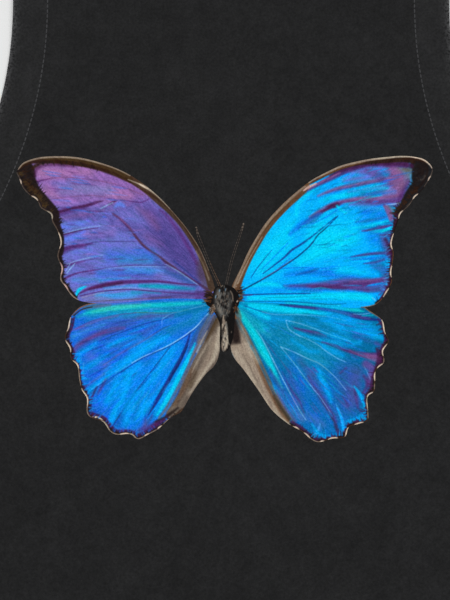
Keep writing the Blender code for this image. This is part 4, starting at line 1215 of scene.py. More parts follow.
# %% Right forewing
RIGHT_FOREWING = (
    (232, 286), (240, 270), (248, 252), (256, 238), (265, 224), (275, 212), (287, 200),
    (300, 189), (312, 180), (325, 173), (340, 166), (355, 162), (370, 159), (387.6, 157),
    (400, 156), (412.5, 156.7), (424, 159.6), (431.6, 167), (431.3, 175), (422, 190), (414, 198),
    (409, 205.5), (401, 213), (398, 221), (391.5, 242), (393.4, 254), (391, 272), (391, 284),
    (378, 303), (361, 307.5), (340, 307), (300, 304.5), (241, 301.5), (231, 298),
)
RIGHT_FOREWING_STROKES = (
    ("aqua", 0.8, 40, (262, 262, 30), (292, 232, 30), (320, 235, 40), (340, 236, 30)),
    ("azure", 0.9, 16, (304, 218, 14), (298, 238, 12)),
    ("aqua", 0.85, 12, (300, 262, 8), (330, 245, 14), (352, 236, 10)),
    ("royal", 0.6, 12, (366, 212, 12), (384, 214, 10)), ("royal", 0.5, 12, (372, 238, 10), (384, 246, 8)),
    ("storm", 0.5, 8, (378, 234, 4), (384, 245, 6)),
    ("royal", 0.7, 8, (286, 275, 3), (310, 272, 6), (340, 276, 6), (366, 278, 5)),
    ("aqua", 0.7, 10, (338, 270, 5), (352, 271, 5), (366, 274, 2)),
    ("aqua", 0.7, 5, (318, 185, 2), (306, 196, 4), (298, 205, 3), (296, 215, 4)),
    ("periwinkle", 0.9, 6, (352, 172, 3), (368, 171, 7), (384, 168, 7), (392, 168, 4)),
    ("periwinkle", 0.9, 6, (344, 180, 4), (362, 178, 5), (380, 175, 4)),
    ("bluebell", 0.6, 5, (346, 178, 3), (352, 174, 3)),
    ("mauve", 0.95, 6, (388, 165, 6), (396, 174, 14), (396, 190, 18), (394, 200, 10)),
    ("periwinkle", 0.9, 5, (376, 187, 2), (386, 189, 6), (394, 193, 5), (384, 195, 6)),
    ("steel", 0.55, 5, (366, 190, 4), (382, 189, 8), (392, 192, 6)),
    ("storm", 0.6, 5, (362, 193, 4), (376, 191, 8), (384, 188, 6)),
    ("violet", 0.4, 6, (362, 172, 5), (380, 172, 8), (390, 176, 6)),
    ("grey mauve", 0.75, 9, (398, 168, 5), (406, 171, 9), (408, 180, 7), (402, 186, 3)),
    ("lilac", 0.5, 4, (386, 172, 3), (396, 169, 3)), ("taupe", 0.7, 4, (404, 169, 4), (412, 171, 6)),
    ("mauve", 0.9, 4, (400, 179, 4), (388, 179, 4), (374, 181, 4), (358, 184, 4), (344, 187, 4),
     (330, 191, 3), (318, 196, 1.6)),
    ("plum", 0.5, 2.5, (386, 180, 1), (366, 184, 1.6), (344, 188.5, 1.6), (326, 193, 1)),
    ("aqua", 0.7, 4, (388, 188, 2), (374, 189, 5), (356, 192, 6), (338, 197, 5), (320, 202, 3)),
    ("sky", 0.6, 3, (384, 188, 2), (366, 189, 2.4), (348, 192, 2)),
    ("mauve", 0.95, 4, (400, 196, 5), (390, 198, 6), (376, 199, 6), (360, 199, 5), (346, 201, 4),
     (334, 204, 4), (322, 210, 4), (310, 217, 2)),
    ("violet", 0.85, 4, (350, 204, 3), (372, 203, 6), (384, 202, 6), (398, 200, 5)),
    ("plum", 0.6, 3, (394, 201, 2), (376, 202, 2), (350, 201.6, 2), (336, 205, 4), (326, 209, 3),
     (312, 217, 1.6)),
    ("damson", 0.8, 3, (337, 205, 5), (330, 207, 4), (322, 212, 2)),
    ("royal", 0.7, 5, (318, 214, 2), (302, 224, 5), (290, 234, 3)),
    ("storm", 0.6, 4, (322, 213, 2), (314, 219, 6), (306, 225, 3)),
    ("navy", 0.4, 3, (322, 213, 1), (308, 220, 1.6), (298, 229, 1)),
    ("sky", 0.7, 8, (346, 206, 3), (364, 207, 4), (380, 209, 3)),
    ("aqua", 0.95, 3, (337, 206, 2), (341, 210, 3), (346, 213, 2)),
    ("mauve", 0.9, 3, (385, 206, 4), (389, 212, 6), (391, 219, 5)),
    ("grey mauve", 0.6, 4, (386, 205, 2), (393, 210, 4)),
    ("plum", 0.75, 5, (408, 182, 5), (404, 192, 7), (397, 205, 4)),
    ("storm", 0.6, 4, (384, 223, 2), (392, 222, 3)), ("plum", 0.5, 2.5, (384, 205, 1.6), (396, 206.6, 2)),
    ("storm", 0.6, 4, (356, 222, 2), (372, 220, 3), (386, 217, 2)),
    ("storm", 0.75, 5, (378, 226, 3), (386, 232, 8), (388, 239, 7)),
    ("aqua", 0.85, 2.4, (352, 227.6, 1), (364, 227, 3), (376, 224, 2.6), (388, 221, 1)),
    ("plum", 0.85, 2.2, (362, 231, 1), (370, 230, 2.4), (380, 227.6, 2.6), (391, 225.4, 2.4)),
    ("aqua", 0.95, 2, (375, 232, 1), (382, 231, 3), (388, 229, 2.4), (393, 226.6, 1.2)),
    ("plum", 0.8, 2.4, (380, 235, 1), (386, 234.6, 2.6), (391, 233, 3)),
    ("sky", 0.8, 1.4, (384, 237, 0.8), (390, 232.6, 1.2)),
    ("violet", 0.7, 5, (382, 238, 3), (386, 246, 5), (388, 255, 4)),
    ("damson", 0.75, 3, (385, 239, 3), (389, 247, 4), (389, 256, 4)),
    ("plum", 0.75, 2.4, (351, 257, 1), (362, 255, 2.4), (376, 253.4, 3), (388, 253, 3)),
    ("royal", 0.7, 3, (352, 259.6, 1.4), (370, 258.6, 2), (388, 257, 1.4)),
    ("plum", 0.7, 2.4, (364, 263.6, 1), (374, 262.4, 2.4), (384, 259.6, 2)),
    ("storm", 0.7, 6, (372, 266, 4), (382, 269, 9), (386, 278, 8)),
    ("violet", 0.95, 6, (284, 286, 1), (300, 286, 3), (320, 285, 6), (344, 284, 11), (366, 284, 11),
     (384, 281, 6)),
    ("plum", 0.8, 4, (290, 286, 1.4), (306, 286, 3), (326, 287, 4), (346, 286, 6), (366, 283, 5),
     (384, 279, 3)),
    ("mauve", 0.5, 3, (350, 282, 2), (372, 280.6, 2.4), (386, 278, 1)),
    ("damson", 0.4, 3, (312, 287, 2), (330, 287.6, 3), (346, 289, 2)),
    ("royal", 0.7, 2.4, (366, 286.6, 1), (374, 285, 2.4), (384, 283, 1.2)),
    ("azure", 0.7, 1.8, (368, 285.6, 1), (375, 284.4, 1.6), (382, 283, 0.8)),
    ("dusk", 0.85, 4, (358, 289, 3), (372, 290, 5), (384, 289, 6), (380, 295, 3)),
    ("plum", 0.5, 3, (350, 289, 2), (368, 291, 3)),
    ("aqua", 0.85, 4, (246, 287, 2), (270, 284, 4), (290, 291, 2)),
    ("aqua", 0.9, 5, (246, 298, 4), (300, 297, 6), (350, 296, 8), (370, 298, 6)),
    ("royal", 0.5, 3, (286, 289, 2), (330, 290, 2), (362, 291.4, 1.4)),
    ("deep teal", 0.35, 3, (300, 299.6, 1), (336, 298.6, 1)),
    ("turquoise", 0.7, 3, (286, 303, 1.4), (310, 304, 3), (340, 305.4, 1.6)),
    ("ice", 0.6, 1.6, (372, 297.6, 1), (375, 300, 1.4)),
    ("navy", 0.8, 1.2, (376.6, 297, 0.8), (377.6, 301, 1.2)),
    ("azure", 0.8, 2, (380, 296, 1.4), (383, 293, 1)),
    ("ink blue", 0.8, 1.5, (241, 291, 1.6), (252, 285, 1.4), (262, 279.6, 1.4), (275, 272, 1.4),
     (283, 266.6, 1.3), (297, 257, 1.3), (308, 247.6, 1.3), (313, 242, 1.4), (318, 235, 1.1),
     (326, 228, 1.1), (338, 216, 0.8)),
    ("mauve", 0.5, 1.4, (262, 279, 0.8), (276, 270.6, 1), (292, 259.6, 0.8)),
    ("navy", 0.8, 1.5, (263, 273.6, 0.8), (275, 264.6, 1.4), (284, 257.6, 1.8), (292, 250, 2.2),
     (305, 241.6, 1.8), (320, 230, 1.3), (336, 217, 1)),
    ("navy", 0.65, 1.3, (251, 277.6, 0.8), (258, 267, 1), (266, 257, 0.8), (272, 250, 0.6)),
    ("royal", 0.65, 1.3, (262, 269, 0.8), (274, 257, 0.9), (288, 243, 0.8)),
    ("royal", 0.7, 1.3, (276, 270.6, 0.7), (290, 258, 0.8), (284, 264, 0.6)),
    ("royal", 0.6, 2, (312, 224, 1), (328, 216, 1.4), (337, 210, 1)),
    ("royal", 0.75, 1.3, (282, 268.6, 0.8), (300, 267.6, 0.9), (320, 268.4, 0.9), (338, 269, 0.7)),
    ("navy", 0.5, 3, (296, 275, 0.8), (310, 271.6, 2.6), (318, 269.6, 1)),
    ("deep teal", 0.6, 1.3, (314, 245, 0.7), (324, 244.6, 0.8), (332, 240.6, 0.7)),
    ("deep teal", 0.5, 1.2, (318, 248, 0.7), (328, 247, 0.8), (335, 243, 0.6)),
    ("navy", 0.85, 1.4, (243, 295, 1.6), (252, 294.6, 1.3), (270, 294, 1.1), (290, 293.8, 1.1),
     (310, 293.4, 1)),
    ("plum", 0.6, 1.6, (242, 295.6, 1.6), (252, 295, 1)),
    ("deep teal", 0.9, 1.3, (244, 302, 1.2), (262, 301.4, 1), (290, 301.6, 1.1), (310, 303, 1.3),
     (330, 304.4, 1.2), (346, 303.6, 0.7)),
    ("deep teal", 0.5, 1.2, (266, 297.6, 0.6), (292, 297, 0.8), (320, 296, 0.6)),
    ("brown", 0.8, 2, (240, 289, 3), (241, 298, 3)), ("royal", 0.7, 3, (246, 298, 2.4), (242, 300, 2)),
    ("soot", 0.95, 1.6, (404, 158, 5), (416, 159, 6), (426, 163, 8), (430, 170, 8), (427, 181, 8),
     (417, 193, 8), (409, 204, 7), (400, 213, 6), (397, 222, 6), (392, 240, 4), (393, 254, 4.4),
     (391, 270, 3.6), (391, 283, 4), (384, 296, 3), (376, 303, 2.4)),
    ("soot", 0.97, 2.4, (414, 165, 8), (420, 168, 16), (419, 177, 15), (417, 184, 10), (411, 191, 8),
     (407, 197, 7), (402, 206, 6), (397, 213, 6), (396, 221, 5), (395, 229, 4)),
    ("taupe", 0.5, 2.4, (425, 176, 1.4), (422, 180, 1), (416, 178, 1)),
    ("ice", 0.7, 1.2, (386, 205, 0.8), (394, 204, 1.4), (400, 203, 0.8)),
    ("soot", 0.7, 1.6, (394, 209.6, 1), (400, 207.6, 2)),
    ("taupe", 0.6, 1.6, (412, 201, 1), (407, 206, 1)),
    ("damson", 0.9, 1.6, (395, 228, 3), (391.6, 238, 2.4), (390, 248, 2.6), (392, 256, 3),
     (390.6, 268, 2.2), (389.6, 280, 2.6), (386, 290, 2.2), (380, 299, 1.2)),
    ("soot", 0.7, 1.4, (397, 222, 2.4), (394, 232, 2.4), (391.4, 246, 1.4), (393.2, 256, 2),
     (391.4, 270, 1.4), (391, 283, 2), (384, 296, 1)),
    ("plum", 0.85, 3, (306, 191.6, 1.6), (318, 185, 3), (330, 178.6, 5), (342, 172.4, 6), (356, 168, 5),
     (372, 165, 4), (392, 164.6, 5), (406, 165, 6)),
    ("damson", 0.8, 3, (330, 176, 2), (345, 169.4, 4), (370, 164, 4), (390, 163, 5), (404, 163.4, 6),
     (411, 166, 5)),
    ("mauve", 0.8, 1.5, (308, 189, 1.6), (318, 183.6, 2.4), (328, 178.6, 2.2), (340, 173, 1.6)),
    ("dark brown", 0.95, 1.6, (310, 183.4, 2), (325, 175, 3.6), (340, 168.4, 3.4), (355, 164.6, 3),
     (370, 162.4, 3.4), (388, 161, 4), (402, 160.4, 3.4), (414, 162, 3)),
    ("olive brown", 0.8, 1.5, (320, 177, 2), (340, 167.6, 2), (360, 162.6, 2), (380, 160, 1.6)),
    ("brown", 0.97, 1.6, (235, 287, 11), (241, 272, 9.6), (248, 257, 9.4), (256, 242.6, 9.4),
     (265, 228.6, 9), (275, 216, 9), (287, 203.6, 9), (299, 193, 8.4), (307, 186.6, 6)),
    ("brown", 0.5, 1.4, (239, 284, 1.4), (245, 270, 1.8), (251, 257.6, 1.8), (259, 243.6, 1.8),
     (267.6, 230, 1.8), (278, 217.6, 2.8), (289, 206.4, 2.8), (299, 197.6, 2.6), (306, 192.6, 1.4)),
    ("olive brown", 0.5, 2, (242, 268, 1.6), (252, 249, 1.6), (270, 222.6, 1.6), (292, 198.6, 2.4)),
    ("tan", 0.75, 1.8, (233.6, 288, 2.4), (240, 272, 2.4), (248, 254.6, 2.6), (256, 240, 2.8),
     (265, 226, 2.8), (275, 214, 2.8), (287, 202, 2.8), (299.6, 190.6, 2.4), (310, 183, 1.8)),
    ("tan", 0.6, 1.4, (238, 283, 1.6), (244, 270, 1.6), (248, 262, 1)),
    ("pale tan", 0.5, 1.2, (236, 287, 1), (246, 265, 1), (262, 237, 0.8)),
    ("blush", 0.9, 1.3, (303.6, 190.6, 1.4), (309, 187, 2.4), (316, 183.6, 1.4)),
    ("violet", 0.7, 6, (366, 170, 4), (380, 178, 8), (388, 183, 6)),
    ("mauve", 0.6, 6, (394, 172, 5), (404, 178, 8), (400, 188, 6)),
    ("storm", 0.35, 9, (350, 192, 5), (368, 193, 8), (380, 192, 5)),
    ("storm", 0.35, 9, (362, 228, 5), (378, 230, 8)),
    ("storm", 0.4, 9, (374, 262, 6), (384, 258, 8), (384, 248, 5)),
    ("storm", 0.45, 6, (304, 292, 4), (320, 290, 4)),
    ("royal", 0.5, 8, (276, 290, 3), (290, 288, 6), (304, 287, 4)),
)
RIGHT_FOREWING_SHEEN = (
    (-50, 280), (296, 170), (392, 298), ("aqua", "azure", "royal", "sky", "deep teal"), 130
)
RIGHT_FOREWING_SCALES = (
    ("soot", 0.85, 44, 11, 7, 16.2, 19.4),
    ("dark brown", 0.8, 44, 5, 6, 19, 22.6),
    ("damson", 0.7, 60, 2, 6, 22, 27.4),
    ("soot", 0.7, 50, 1, 4, 22, 27.6),
    ("sky", 0.5, 14, 4, 7, 22, 27.4),
    ("soot", 0.6, 50, 4, 3, 12, 16),
)
RIGHT_FOREWING_EDGE = (
    ("brown", 0.9, 7, (7.5, 12.2)),
    ("dark brown", 0.95, 8, (11.5, 16.2)),
    ("soot", 0.9, 2.4, (17, 27.5)),
    ("tan", 0.95, 3.8, (7.7, 15.2)), ("pale tan", 0.9, 2.6, (12.1, 14.9)), ("cream", 0.9, 2.6, (14.9, 17.1)),
    ("taupe", 0.75, 1.8, (17.4, 18.8), (20.2, 21.6)),
    ("cream", 0.9, 2.6, (18.1, 18.4), (19.5, 20.1), (21.8, 22.8), (23.6, 24.6), (25.6, 26.4), (27.3, 27.6)),
    ("brown", 0.9, 1.8, (24.6, 25.6), (26.6, 27.1)), ("orange brown", 0.8, 2, (27.8, 29.0)),
)
print("Right forewing:", len(RIGHT_FOREWING_STROKES), "strokes")


# %% [markdown]
# The right hindwing is a darker teal blue that turns violet towards its margin, with pale veins.

# %% Right hindwing
RIGHT_HINDWING = (
    (230, 297), (280, 299), (340, 304), (361, 306), (370, 311), (382, 320), (385, 332),
    (388.6, 341), (383, 351), (384, 362), (376, 370), (375, 381.5), (374, 391), (367.5, 397),
    (368, 410), (367.5, 420), (359, 423.6), (349, 427), (344.6, 437), (332, 438.5), (319, 442),
    (311, 439), (301.5, 431), (288, 423.6), (272, 410), (259, 391), (244, 370), (234.6, 358.5),
    (231, 349), (230, 330),
)
RIGHT_HINDWING_STROKES = (
    ("royal", 0.45, 50, (290, 400, 60), (330, 400, 80)),
    ("teal", 0.6, 40, (290, 335, 50), (320, 350, 40)),
    ("azure", 0.55, 10, (252, 313, 5), (272, 318, 8), (290, 319, 4)),
    ("azure", 0.75, 10, (322, 319, 5), (338, 326, 10), (348, 340, 9), (334, 336, 5)),
    ("azure", 0.6, 16, (345, 322, 10), (372, 332, 14)),
    ("aqua", 0.9, 5, (242, 305, 6), (262, 307, 8), (290, 310, 7), (310, 312, 5), (330, 314, 2)),
    ("aqua", 0.7, 5, (300, 303, 3), (330, 307, 5), (358, 309, 4)),
    ("azure", 0.55, 8, (330, 316, 5), (350, 320, 6), (368, 325, 5)),
    ("teal", 0.85, 6, (240, 310, 6), (254, 322, 9), (268, 334, 8)),
    ("turquoise", 0.35, 6, (244, 312, 4), (262, 330, 6)),
    ("deep teal", 0.65, 3, (239, 303, 3), (246, 305.4, 4)),
    ("aqua", 0.7, 4, (248, 309, 3), (256, 312, 5), (268, 318, 5)),
    ("deep teal", 0.55, 7, (338, 334, 4), (352, 336, 8)),
    ("storm", 0.6, 6, (354, 336, 3), (366, 340, 5), (378, 344, 3)),
    ("azure", 0.7, 4, (350, 330, 2), (366, 333, 4), (382, 338, 5)),
    ("royal", 0.4, 14, (292, 358, 8), (300, 390, 12)),
    ("storm", 0.75, 20, (348, 376, 24), (350, 402, 22)),
    ("violet", 0.45, 16, (358, 372, 10), (352, 400, 10)),
    ("violet", 0.45, 12, (288, 372, 4), (300, 402, 6)),
    ("violet", 0.5, 12, (312, 372, 3), (322, 398, 6), (334, 416, 6)),
    ("periwinkle", 0.4, 10, (306, 415, 8), (322, 424, 8)),
    ("steel", 0.45, 8, (280, 392, 3), (292, 408, 6), (302, 420, 4)),
    ("violet", 0.4, 10, (300, 360, 4), (310, 376, 5)),
    ("azure", 0.8, 5, (318, 370, 3), (322, 380, 6), (328, 392, 5), (331, 402, 2)),
    ("azure", 0.6, 4, (296, 332, 1.4), (314, 338, 3), (330, 342, 2.4), (342, 346, 1)),
    ("azure", 0.55, 5, (292, 340, 3), (306, 350, 4), (318, 352, 3)),
    ("teal", 0.6, 6, (300, 352, 3), (326, 364, 4)),
    ("azure", 0.5, 6, (262, 380, 2), (280, 392, 5), (290, 408, 3)),
    ("navy", 0.95, 2.2, (280, 304.6, 1), (295, 306.4, 2.4), (310, 307.6, 2.6), (325, 309.4, 3),
     (340, 312, 3.4), (353, 315.4, 4.4), (365, 318.4, 3.6), (380, 320, 2.4)),
    ("dusk", 0.75, 2, (290, 306, 1), (312, 308, 1.6), (334, 311, 2), (354, 316, 3), (370, 318.6, 2)),
    ("turquoise", 0.9, 1.8, (344, 309.6, 1), (356, 310.4, 2.2), (364, 311.4, 1)),
    ("ice", 0.5, 1.3, (353, 314, 0.6), (362, 314.4, 1), (370, 313, 0.8)),
    ("turquoise", 0.7, 1.3, (362, 316, 0.6), (374, 315, 1)),
    ("plum", 0.75, 2.5, (294, 328, 1), (305, 330.6, 2.6), (317, 333, 3), (326, 336, 1)),
    ("navy", 0.5, 2.5, (292, 326, 1), (312, 334, 2), (330, 338, 2), (346, 342, 1)),
    ("plum", 0.85, 3, (322, 342, 0.8), (334, 345.6, 2.4), (346, 350, 3.4), (358, 353.6, 4.4),
     (370, 355.6, 6), (380, 355.6, 7)),
    ("mauve", 0.75, 4, (350, 351, 1.4), (362, 355, 3), (374, 358, 7), (380, 360, 7)),
    ("damson", 0.8, 3, (377, 349, 3), (381, 357, 8), (378, 366, 6)),
    ("azure", 0.6, 6, (324, 346, 3), (334, 352, 6), (342, 356, 4)),
    ("azure", 0.6, 5, (352, 344, 5), (360, 342, 5)), ("dusk", 0.6, 4, (376, 343, 3), (382, 346, 3)),
    ("violet", 0.9, 5, (366, 364, 8), (372, 370, 8), (368, 384, 5)),
    ("plum", 0.7, 4, (364, 376, 3), (368, 384, 4), (364, 392, 3)),
    ("plum", 0.5, 3, (340, 373, 2), (346, 368, 2)),
    ("plum", 0.5, 3.5, (308, 376, 1), (316, 390, 3), (326, 404, 3), (336, 422, 3)),
    ("plum", 0.5, 3, (282, 372, 1), (290, 388, 2.4), (298, 400, 3), (304, 412, 1.4)),
    ("plum", 0.55, 3, (354, 388, 1.4), (356, 398, 3), (358, 408, 2)),
    ("plum", 0.45, 3, (343, 396, 2), (348, 406, 2.4)),
    ("azure", 0.9, 2, (354, 386, 1), (359, 393, 3), (363, 401, 3.2), (365, 409, 1.4)),
    ("sky", 0.8, 2, (336, 404, 1), (340, 414, 2.6), (343, 424, 3.2), (343.4, 432, 2)),
    ("azure", 0.8, 2, (337, 408, 1), (342, 420, 2), (343, 430, 2)),
    ("sky", 0.8, 2.5, (314, 436, 2), (318, 430, 3.4), (320, 424, 1.4)),
    ("azure", 0.7, 3, (312, 424, 1.6), (317, 432, 3), (324, 436, 2.6), (334, 436, 2)),
    ("azure", 0.6, 3, (346, 422, 1.6), (354, 419, 3), (362, 416, 3)),
    ("ice", 0.35, 1.1, (364, 366, 0.6), (368, 374, 0.8), (371, 381, 0.6)),
    ("navy", 0.6, 1.5, (245, 306, 1), (258, 310.4, 1), (266, 313, 0.8)),
    ("ice", 0.4, 1.2, (262, 311.6, 0.7), (276, 314.6, 0.9), (300, 314.6, 0.9), (330, 317, 0.8),
     (346, 321, 0.7)),
    ("ice", 0.55, 1.2, (286, 320.4, 0.7), (300, 323.6, 1), (320, 330.6, 0.9), (336, 336.6, 0.8),
     (350, 341, 0.6)),
    ("ice", 0.5, 1.1, (286, 320.4, 0.7), (289, 329, 0.9), (300, 336.6, 0.6)),
    ("ice", 0.5, 1.2, (296, 334, 0.6), (315, 343, 0.7), (326, 351, 1), (338, 358.6, 1), (346, 362, 0.7)),
    ("ice", 0.6, 1.2, (280.6, 346.6, 0.9), (295, 352.6, 1), (310, 359.6, 0.9), (320, 364, 0.9),
     (334, 376, 0.7), (346, 390, 0.6)),
    ("ice", 0.6, 1.2, (281, 347, 0.9), (290, 358, 1), (300, 371, 0.9), (310, 384.6, 0.9),
     (320, 397, 0.8), (330, 412, 0.6)),
    ("damson", 0.5, 1.6, (318, 396, 0.8), (328, 411, 1.4), (337, 426, 2)),
    ("damson", 0.7, 3, (334, 424, 1), (338, 431, 4), (342, 436, 4)),
    ("damson", 0.6, 4, (360, 410, 2), (364, 414, 3)),
    ("ice", 0.7, 1.2, (256, 330, 0.6), (262, 338.6, 0.9), (271, 356, 1.1), (278, 370, 1),
     (290, 393, 0.9), (300, 411, 0.8), (306, 420, 0.6)),
    ("deep teal", 0.5, 4, (268, 340, 2), (280, 360, 4), (288, 376, 3)),
    ("turquoise", 0.95, 3.5, (239, 312, 5), (246, 322, 6), (254, 334, 7.6), (262, 349, 8),
     (268, 360, 6.6), (275, 374, 4), (282, 388, 2)),
    ("aqua", 0.6, 3, (252, 330, 2.4), (260, 343, 3.4), (268, 358, 3), (276, 374, 1.4)),
    ("storm", 0.7, 5, (270, 372, 3), (277, 382, 5), (286, 398, 6), (292, 408, 3)),
    ("tan", 1, 2.4, (231, 322, 8), (237, 342, 18), (247, 362, 20), (258, 384, 18), (268, 402, 15),
     (277, 414, 11), (288, 424, 6)),
    ("taupe", 0.75, 5, (233, 312, 5), (238, 324, 4), (246, 340, 3)),
    ("pale tan", 0.6, 5, (236, 352, 5), (246, 368, 6), (258, 390, 5), (266, 404, 4)),
    ("tan", 0.75, 3, (241, 324, 2), (245, 334, 5), (249, 344, 4)),
    ("taupe", 0.5, 3, (243, 354, 1.4), (254, 376, 2), (262, 392, 2)),
    ("brown", 0.7, 3.4, (252, 352, 2), (262, 374, 4), (271, 392, 5), (279, 406, 6), (288, 420, 5)),
    ("orange brown", 0.6, 2.2, (238, 318, 1.4), (246, 332, 2), (254, 348, 2.4), (262, 365, 2.6),
     (270, 382, 2.6), (278, 398, 2.2), (286, 411, 1.6), (294, 422, 1.4)),
    ("olive brown", 0.7, 2.4, (274, 396, 2), (281, 408, 3), (289, 419, 3)),
    ("mauve", 0.5, 2.4, (276, 390, 1.4), (286, 408, 2), (296, 421, 2)),
    ("soot", 0.92, 4, (231, 316, 8), (234, 328, 9), (236, 338, 9)),
    ("soot", 0.7, 4, (231, 343, 4), (239, 342, 4)),
    ("taupe", 0.65, 3, (236, 308, 4), (239, 316, 5), (240, 324, 3)),
    ("orange brown", 0.7, 2, (233, 312, 2.4), (236, 318, 2)),
    ("damson", 0.85, 2.2, (378, 319, 1), (382, 326, 2), (384, 333, 2), (385.6, 341, 3.6),
     (381.6, 350, 3.4), (382, 360, 3.4), (375.6, 369, 3.2), (372.6, 380, 3.6), (371, 389, 4),
     (366, 396, 2.4), (366.4, 408, 2.4), (366, 418, 3.4), (358, 421.4, 2.8), (349, 425, 3.6),
     (343, 435, 4), (332, 436.8, 2.6), (318, 439.6, 3), (311, 436, 3.6), (302, 428.6, 3.6),
     (292, 422, 3)),
    ("soot", 0.9, 1.6, (381, 319, 1.2), (384.4, 330, 1.6), (387, 340, 2.6), (383, 350, 2.2),
     (383, 361, 2.6), (376.4, 368.6, 2), (374, 381, 2.4), (372.6, 389.4, 3), (367, 396, 1.6),
     (367, 410, 1.6), (366.6, 419.6, 2.6), (358, 422.6, 1.8), (348.6, 426, 2.4), (343.6, 436.6, 3),
     (332, 438, 1.8), (318, 441, 2.2), (310, 437.4, 2.8), (301, 430, 2.6), (290, 423.6, 2.2)),
    ("azure", 0.45, 9, (320, 310, 5), (336, 313, 9), (348, 316, 5)),
    ("azure", 0.4, 8, (322, 332, 4), (336, 338, 8), (344, 342, 4)),
    ("aqua", 0.3, 6, (258, 318, 4), (266, 328, 6)), ("azure", 0.3, 8, (304, 322, 4), (316, 326, 7)),
    ("pale tan", 0.6, 6, (246, 344, 3), (252, 352, 7), (258, 362, 3)),
)
RIGHT_HINDWING_SHEEN = (
    (236, 302), (262, 310), (376, 430), ("azure", "deep teal", "royal", "violet", "teal"), 150
)
RIGHT_HINDWING_SCALES = (
    ("damson", 0.7, 70, 2, 6, 5, 22.6),
    ("soot", 0.8, 60, 1, 4, 5, 22.8),
    ("azure", 0.6, 30, 3, 8, 13, 21.5),
)
RIGHT_HINDWING_EDGE = (
    ("soot", 0.9, 2.4, (5, 24)),
    ("brown", 0.7, 1.4, (5, 24)),
    ("orange brown", 0.8, 2.2, (2.8, 4.9)),
    ("cream", 0.9, 2.6, (5.0, 6.1), (7.4, 8.4), (9.3, 9.8), (10.2, 10.9), (12.2, 13.0), (15.6, 16.4),
     (17.1, 17.9), (18.6, 19.2), (19.6, 19.9), (21.1, 21.8), (22.3, 22.6)),
    ("tan", 0.8, 1.8, (8.6, 9.1), (11.2, 11.8), (14.1, 14.8), (19.9, 21.1)),
    ("pale tan", 0.9, 2.5, (13.1, 14.0), (22.9, 24.0)),
)
print("Right hindwing:", len(RIGHT_HINDWING_STROKES), "strokes")


# %% [markdown]
# Between the wings lie the dark furry head and thorax and the slim grey abdomen, with tufts of brown
# hair where the wings join.

# %% Body of the butterfly
BODY = (
    (219, 285.5), (224, 284.6), (230, 286), (235, 289), (239, 296), (239, 304), (235.6, 310), (234.6, 322),
    (233, 338), (230, 346), (228, 350), (224, 352), (221, 350), (219.6, 342), (220, 326), (217, 317),
    (212, 309), (206, 303.6), (209, 298), (213, 293), (215, 288),
)
BODY_STROKES = (
    ("grey", 0.9, 6, (220, 292, 7), (219, 300, 8), (220, 309, 7), (223, 316, 5)),
    ("grey", 0.6, 5, (228, 293, 4), (229, 302, 5), (228, 311, 4)),
    ("black", 0.75, 3, (223, 287.6, 8), (229, 289, 5)),
    ("black", 0.7, 3, (233, 290, 3), (235.6, 297, 5), (235, 304, 4), (232, 311, 4)),
    ("black", 0.5, 2, (226.6, 292, 1.6), (227.6, 301, 2), (226.6, 311, 1.6)),
    ("tan", 0.4, 3, (217, 296, 2), (218, 304, 2.4), (220.6, 312, 2)),
    ("tan", 0.7, 1.2, (230.4, 291, 0.9), (232.4, 295, 1.1), (233, 301, 0.9)),
    ("tan", 0.9, 2, (223.4, 316, 2), (224, 328, 4), (224.6, 338, 5), (224.6, 345, 6.4), (224, 349, 4)),
    ("pale tan", 0.7, 1.6, (226, 322, 1.4), (227, 334, 2), (226.6, 344, 2.6), (224, 349, 2)),
    ("black", 0.85, 1.2, (221.4, 318, 1.4), (220.8, 330, 1.6), (221, 340, 1), (222.4, 336, 0.9),
     (223, 328, 0.6)),
    ("black", 0.97, 1.6, (229.4, 316, 3), (230.4, 326, 4), (231, 338, 4), (230.6, 345, 2.4)),
    ("ice", 0.5, 1, (219.6, 290, 1.2), (219.4, 291.4, 0.9)),
    ("ice", 0.5, 1, (225.6, 288.6, 1.3), (225.4, 291, 1)),
    ("ice", 0.5, 1, (216, 296, 1.6), (215.6, 297.6, 1.2)),
    ("cream", 0.85, 1, (237.6, 301, 1.4), (237, 301.8, 1)),
    ("tan", 0.5, 1, (231.4, 331.4, 0.8), (231.4, 332.6, 0.8)),
    ("pale tan", 0.6, 1.1, (221, 286.8, 0.8), (222.6, 285.6, 1)),
)

# Tufts of hair: the middle, how far the hairs are spread across and down, which way they point, how many.
TUFTS = (
    (224, 300, 7, 12, 0, 3, 110, ("grey", "black", "taupe", "black")),
    (225, 334, 3, 14, 0.4, 4, 50, ("pale tan", "pale tan", "grey", "black")),
    (211, 295, 1.6, 4, -6, 0.5, 34, ("black", "brown", "black", "dark brown")),
    (210, 301, 2, 2, -6, 0.5, 20, ("brown", "black", "orange brown", "black")),
    (213, 308, 2, 4, -3, 4, 30, ("brown", "tan", "black")),
    (238, 292, 1.4, 5, 5, -1, 30, ("black", "brown", "black")),
    (239, 299, 1.4, 3, 4, -1, 14, ("soot", "brown")),
    (236, 308, 1.4, 4, 1, 4, 20, ("orange brown", "soot", "brown", "soot")),
)


def hairs():
    rng = np.random.default_rng(11)
    for x, y, across, down, dx, dy, count, inks in TUFTS:
        for number in range(count):
            left, top = rng.normal((x, y), (across / 2, down / 2))
            turn, length = rng.normal(0, 0.3), rng.uniform(0.6, 1.2)
            tip = left + length * (dx - turn * dy), top + length * (dy + turn * dx)
            yield inks[number % len(inks)], 0.75, 1.0, (left, top, 1.1), (*tip, 0.4)


print("Body:", len(BODY_STROKES), "strokes and", len(list(hairs())), "hairs")

# %% [markdown]
# Ink shows the twill beneath it, and butterfly scales shine in fine rays that run from the wing's root to
# its margin. The ink's finish therefore takes the painted colour from the mesh and breaks it up with two
# noises: long thin rays, laid out by the angle and the distance from the root, and small grains.

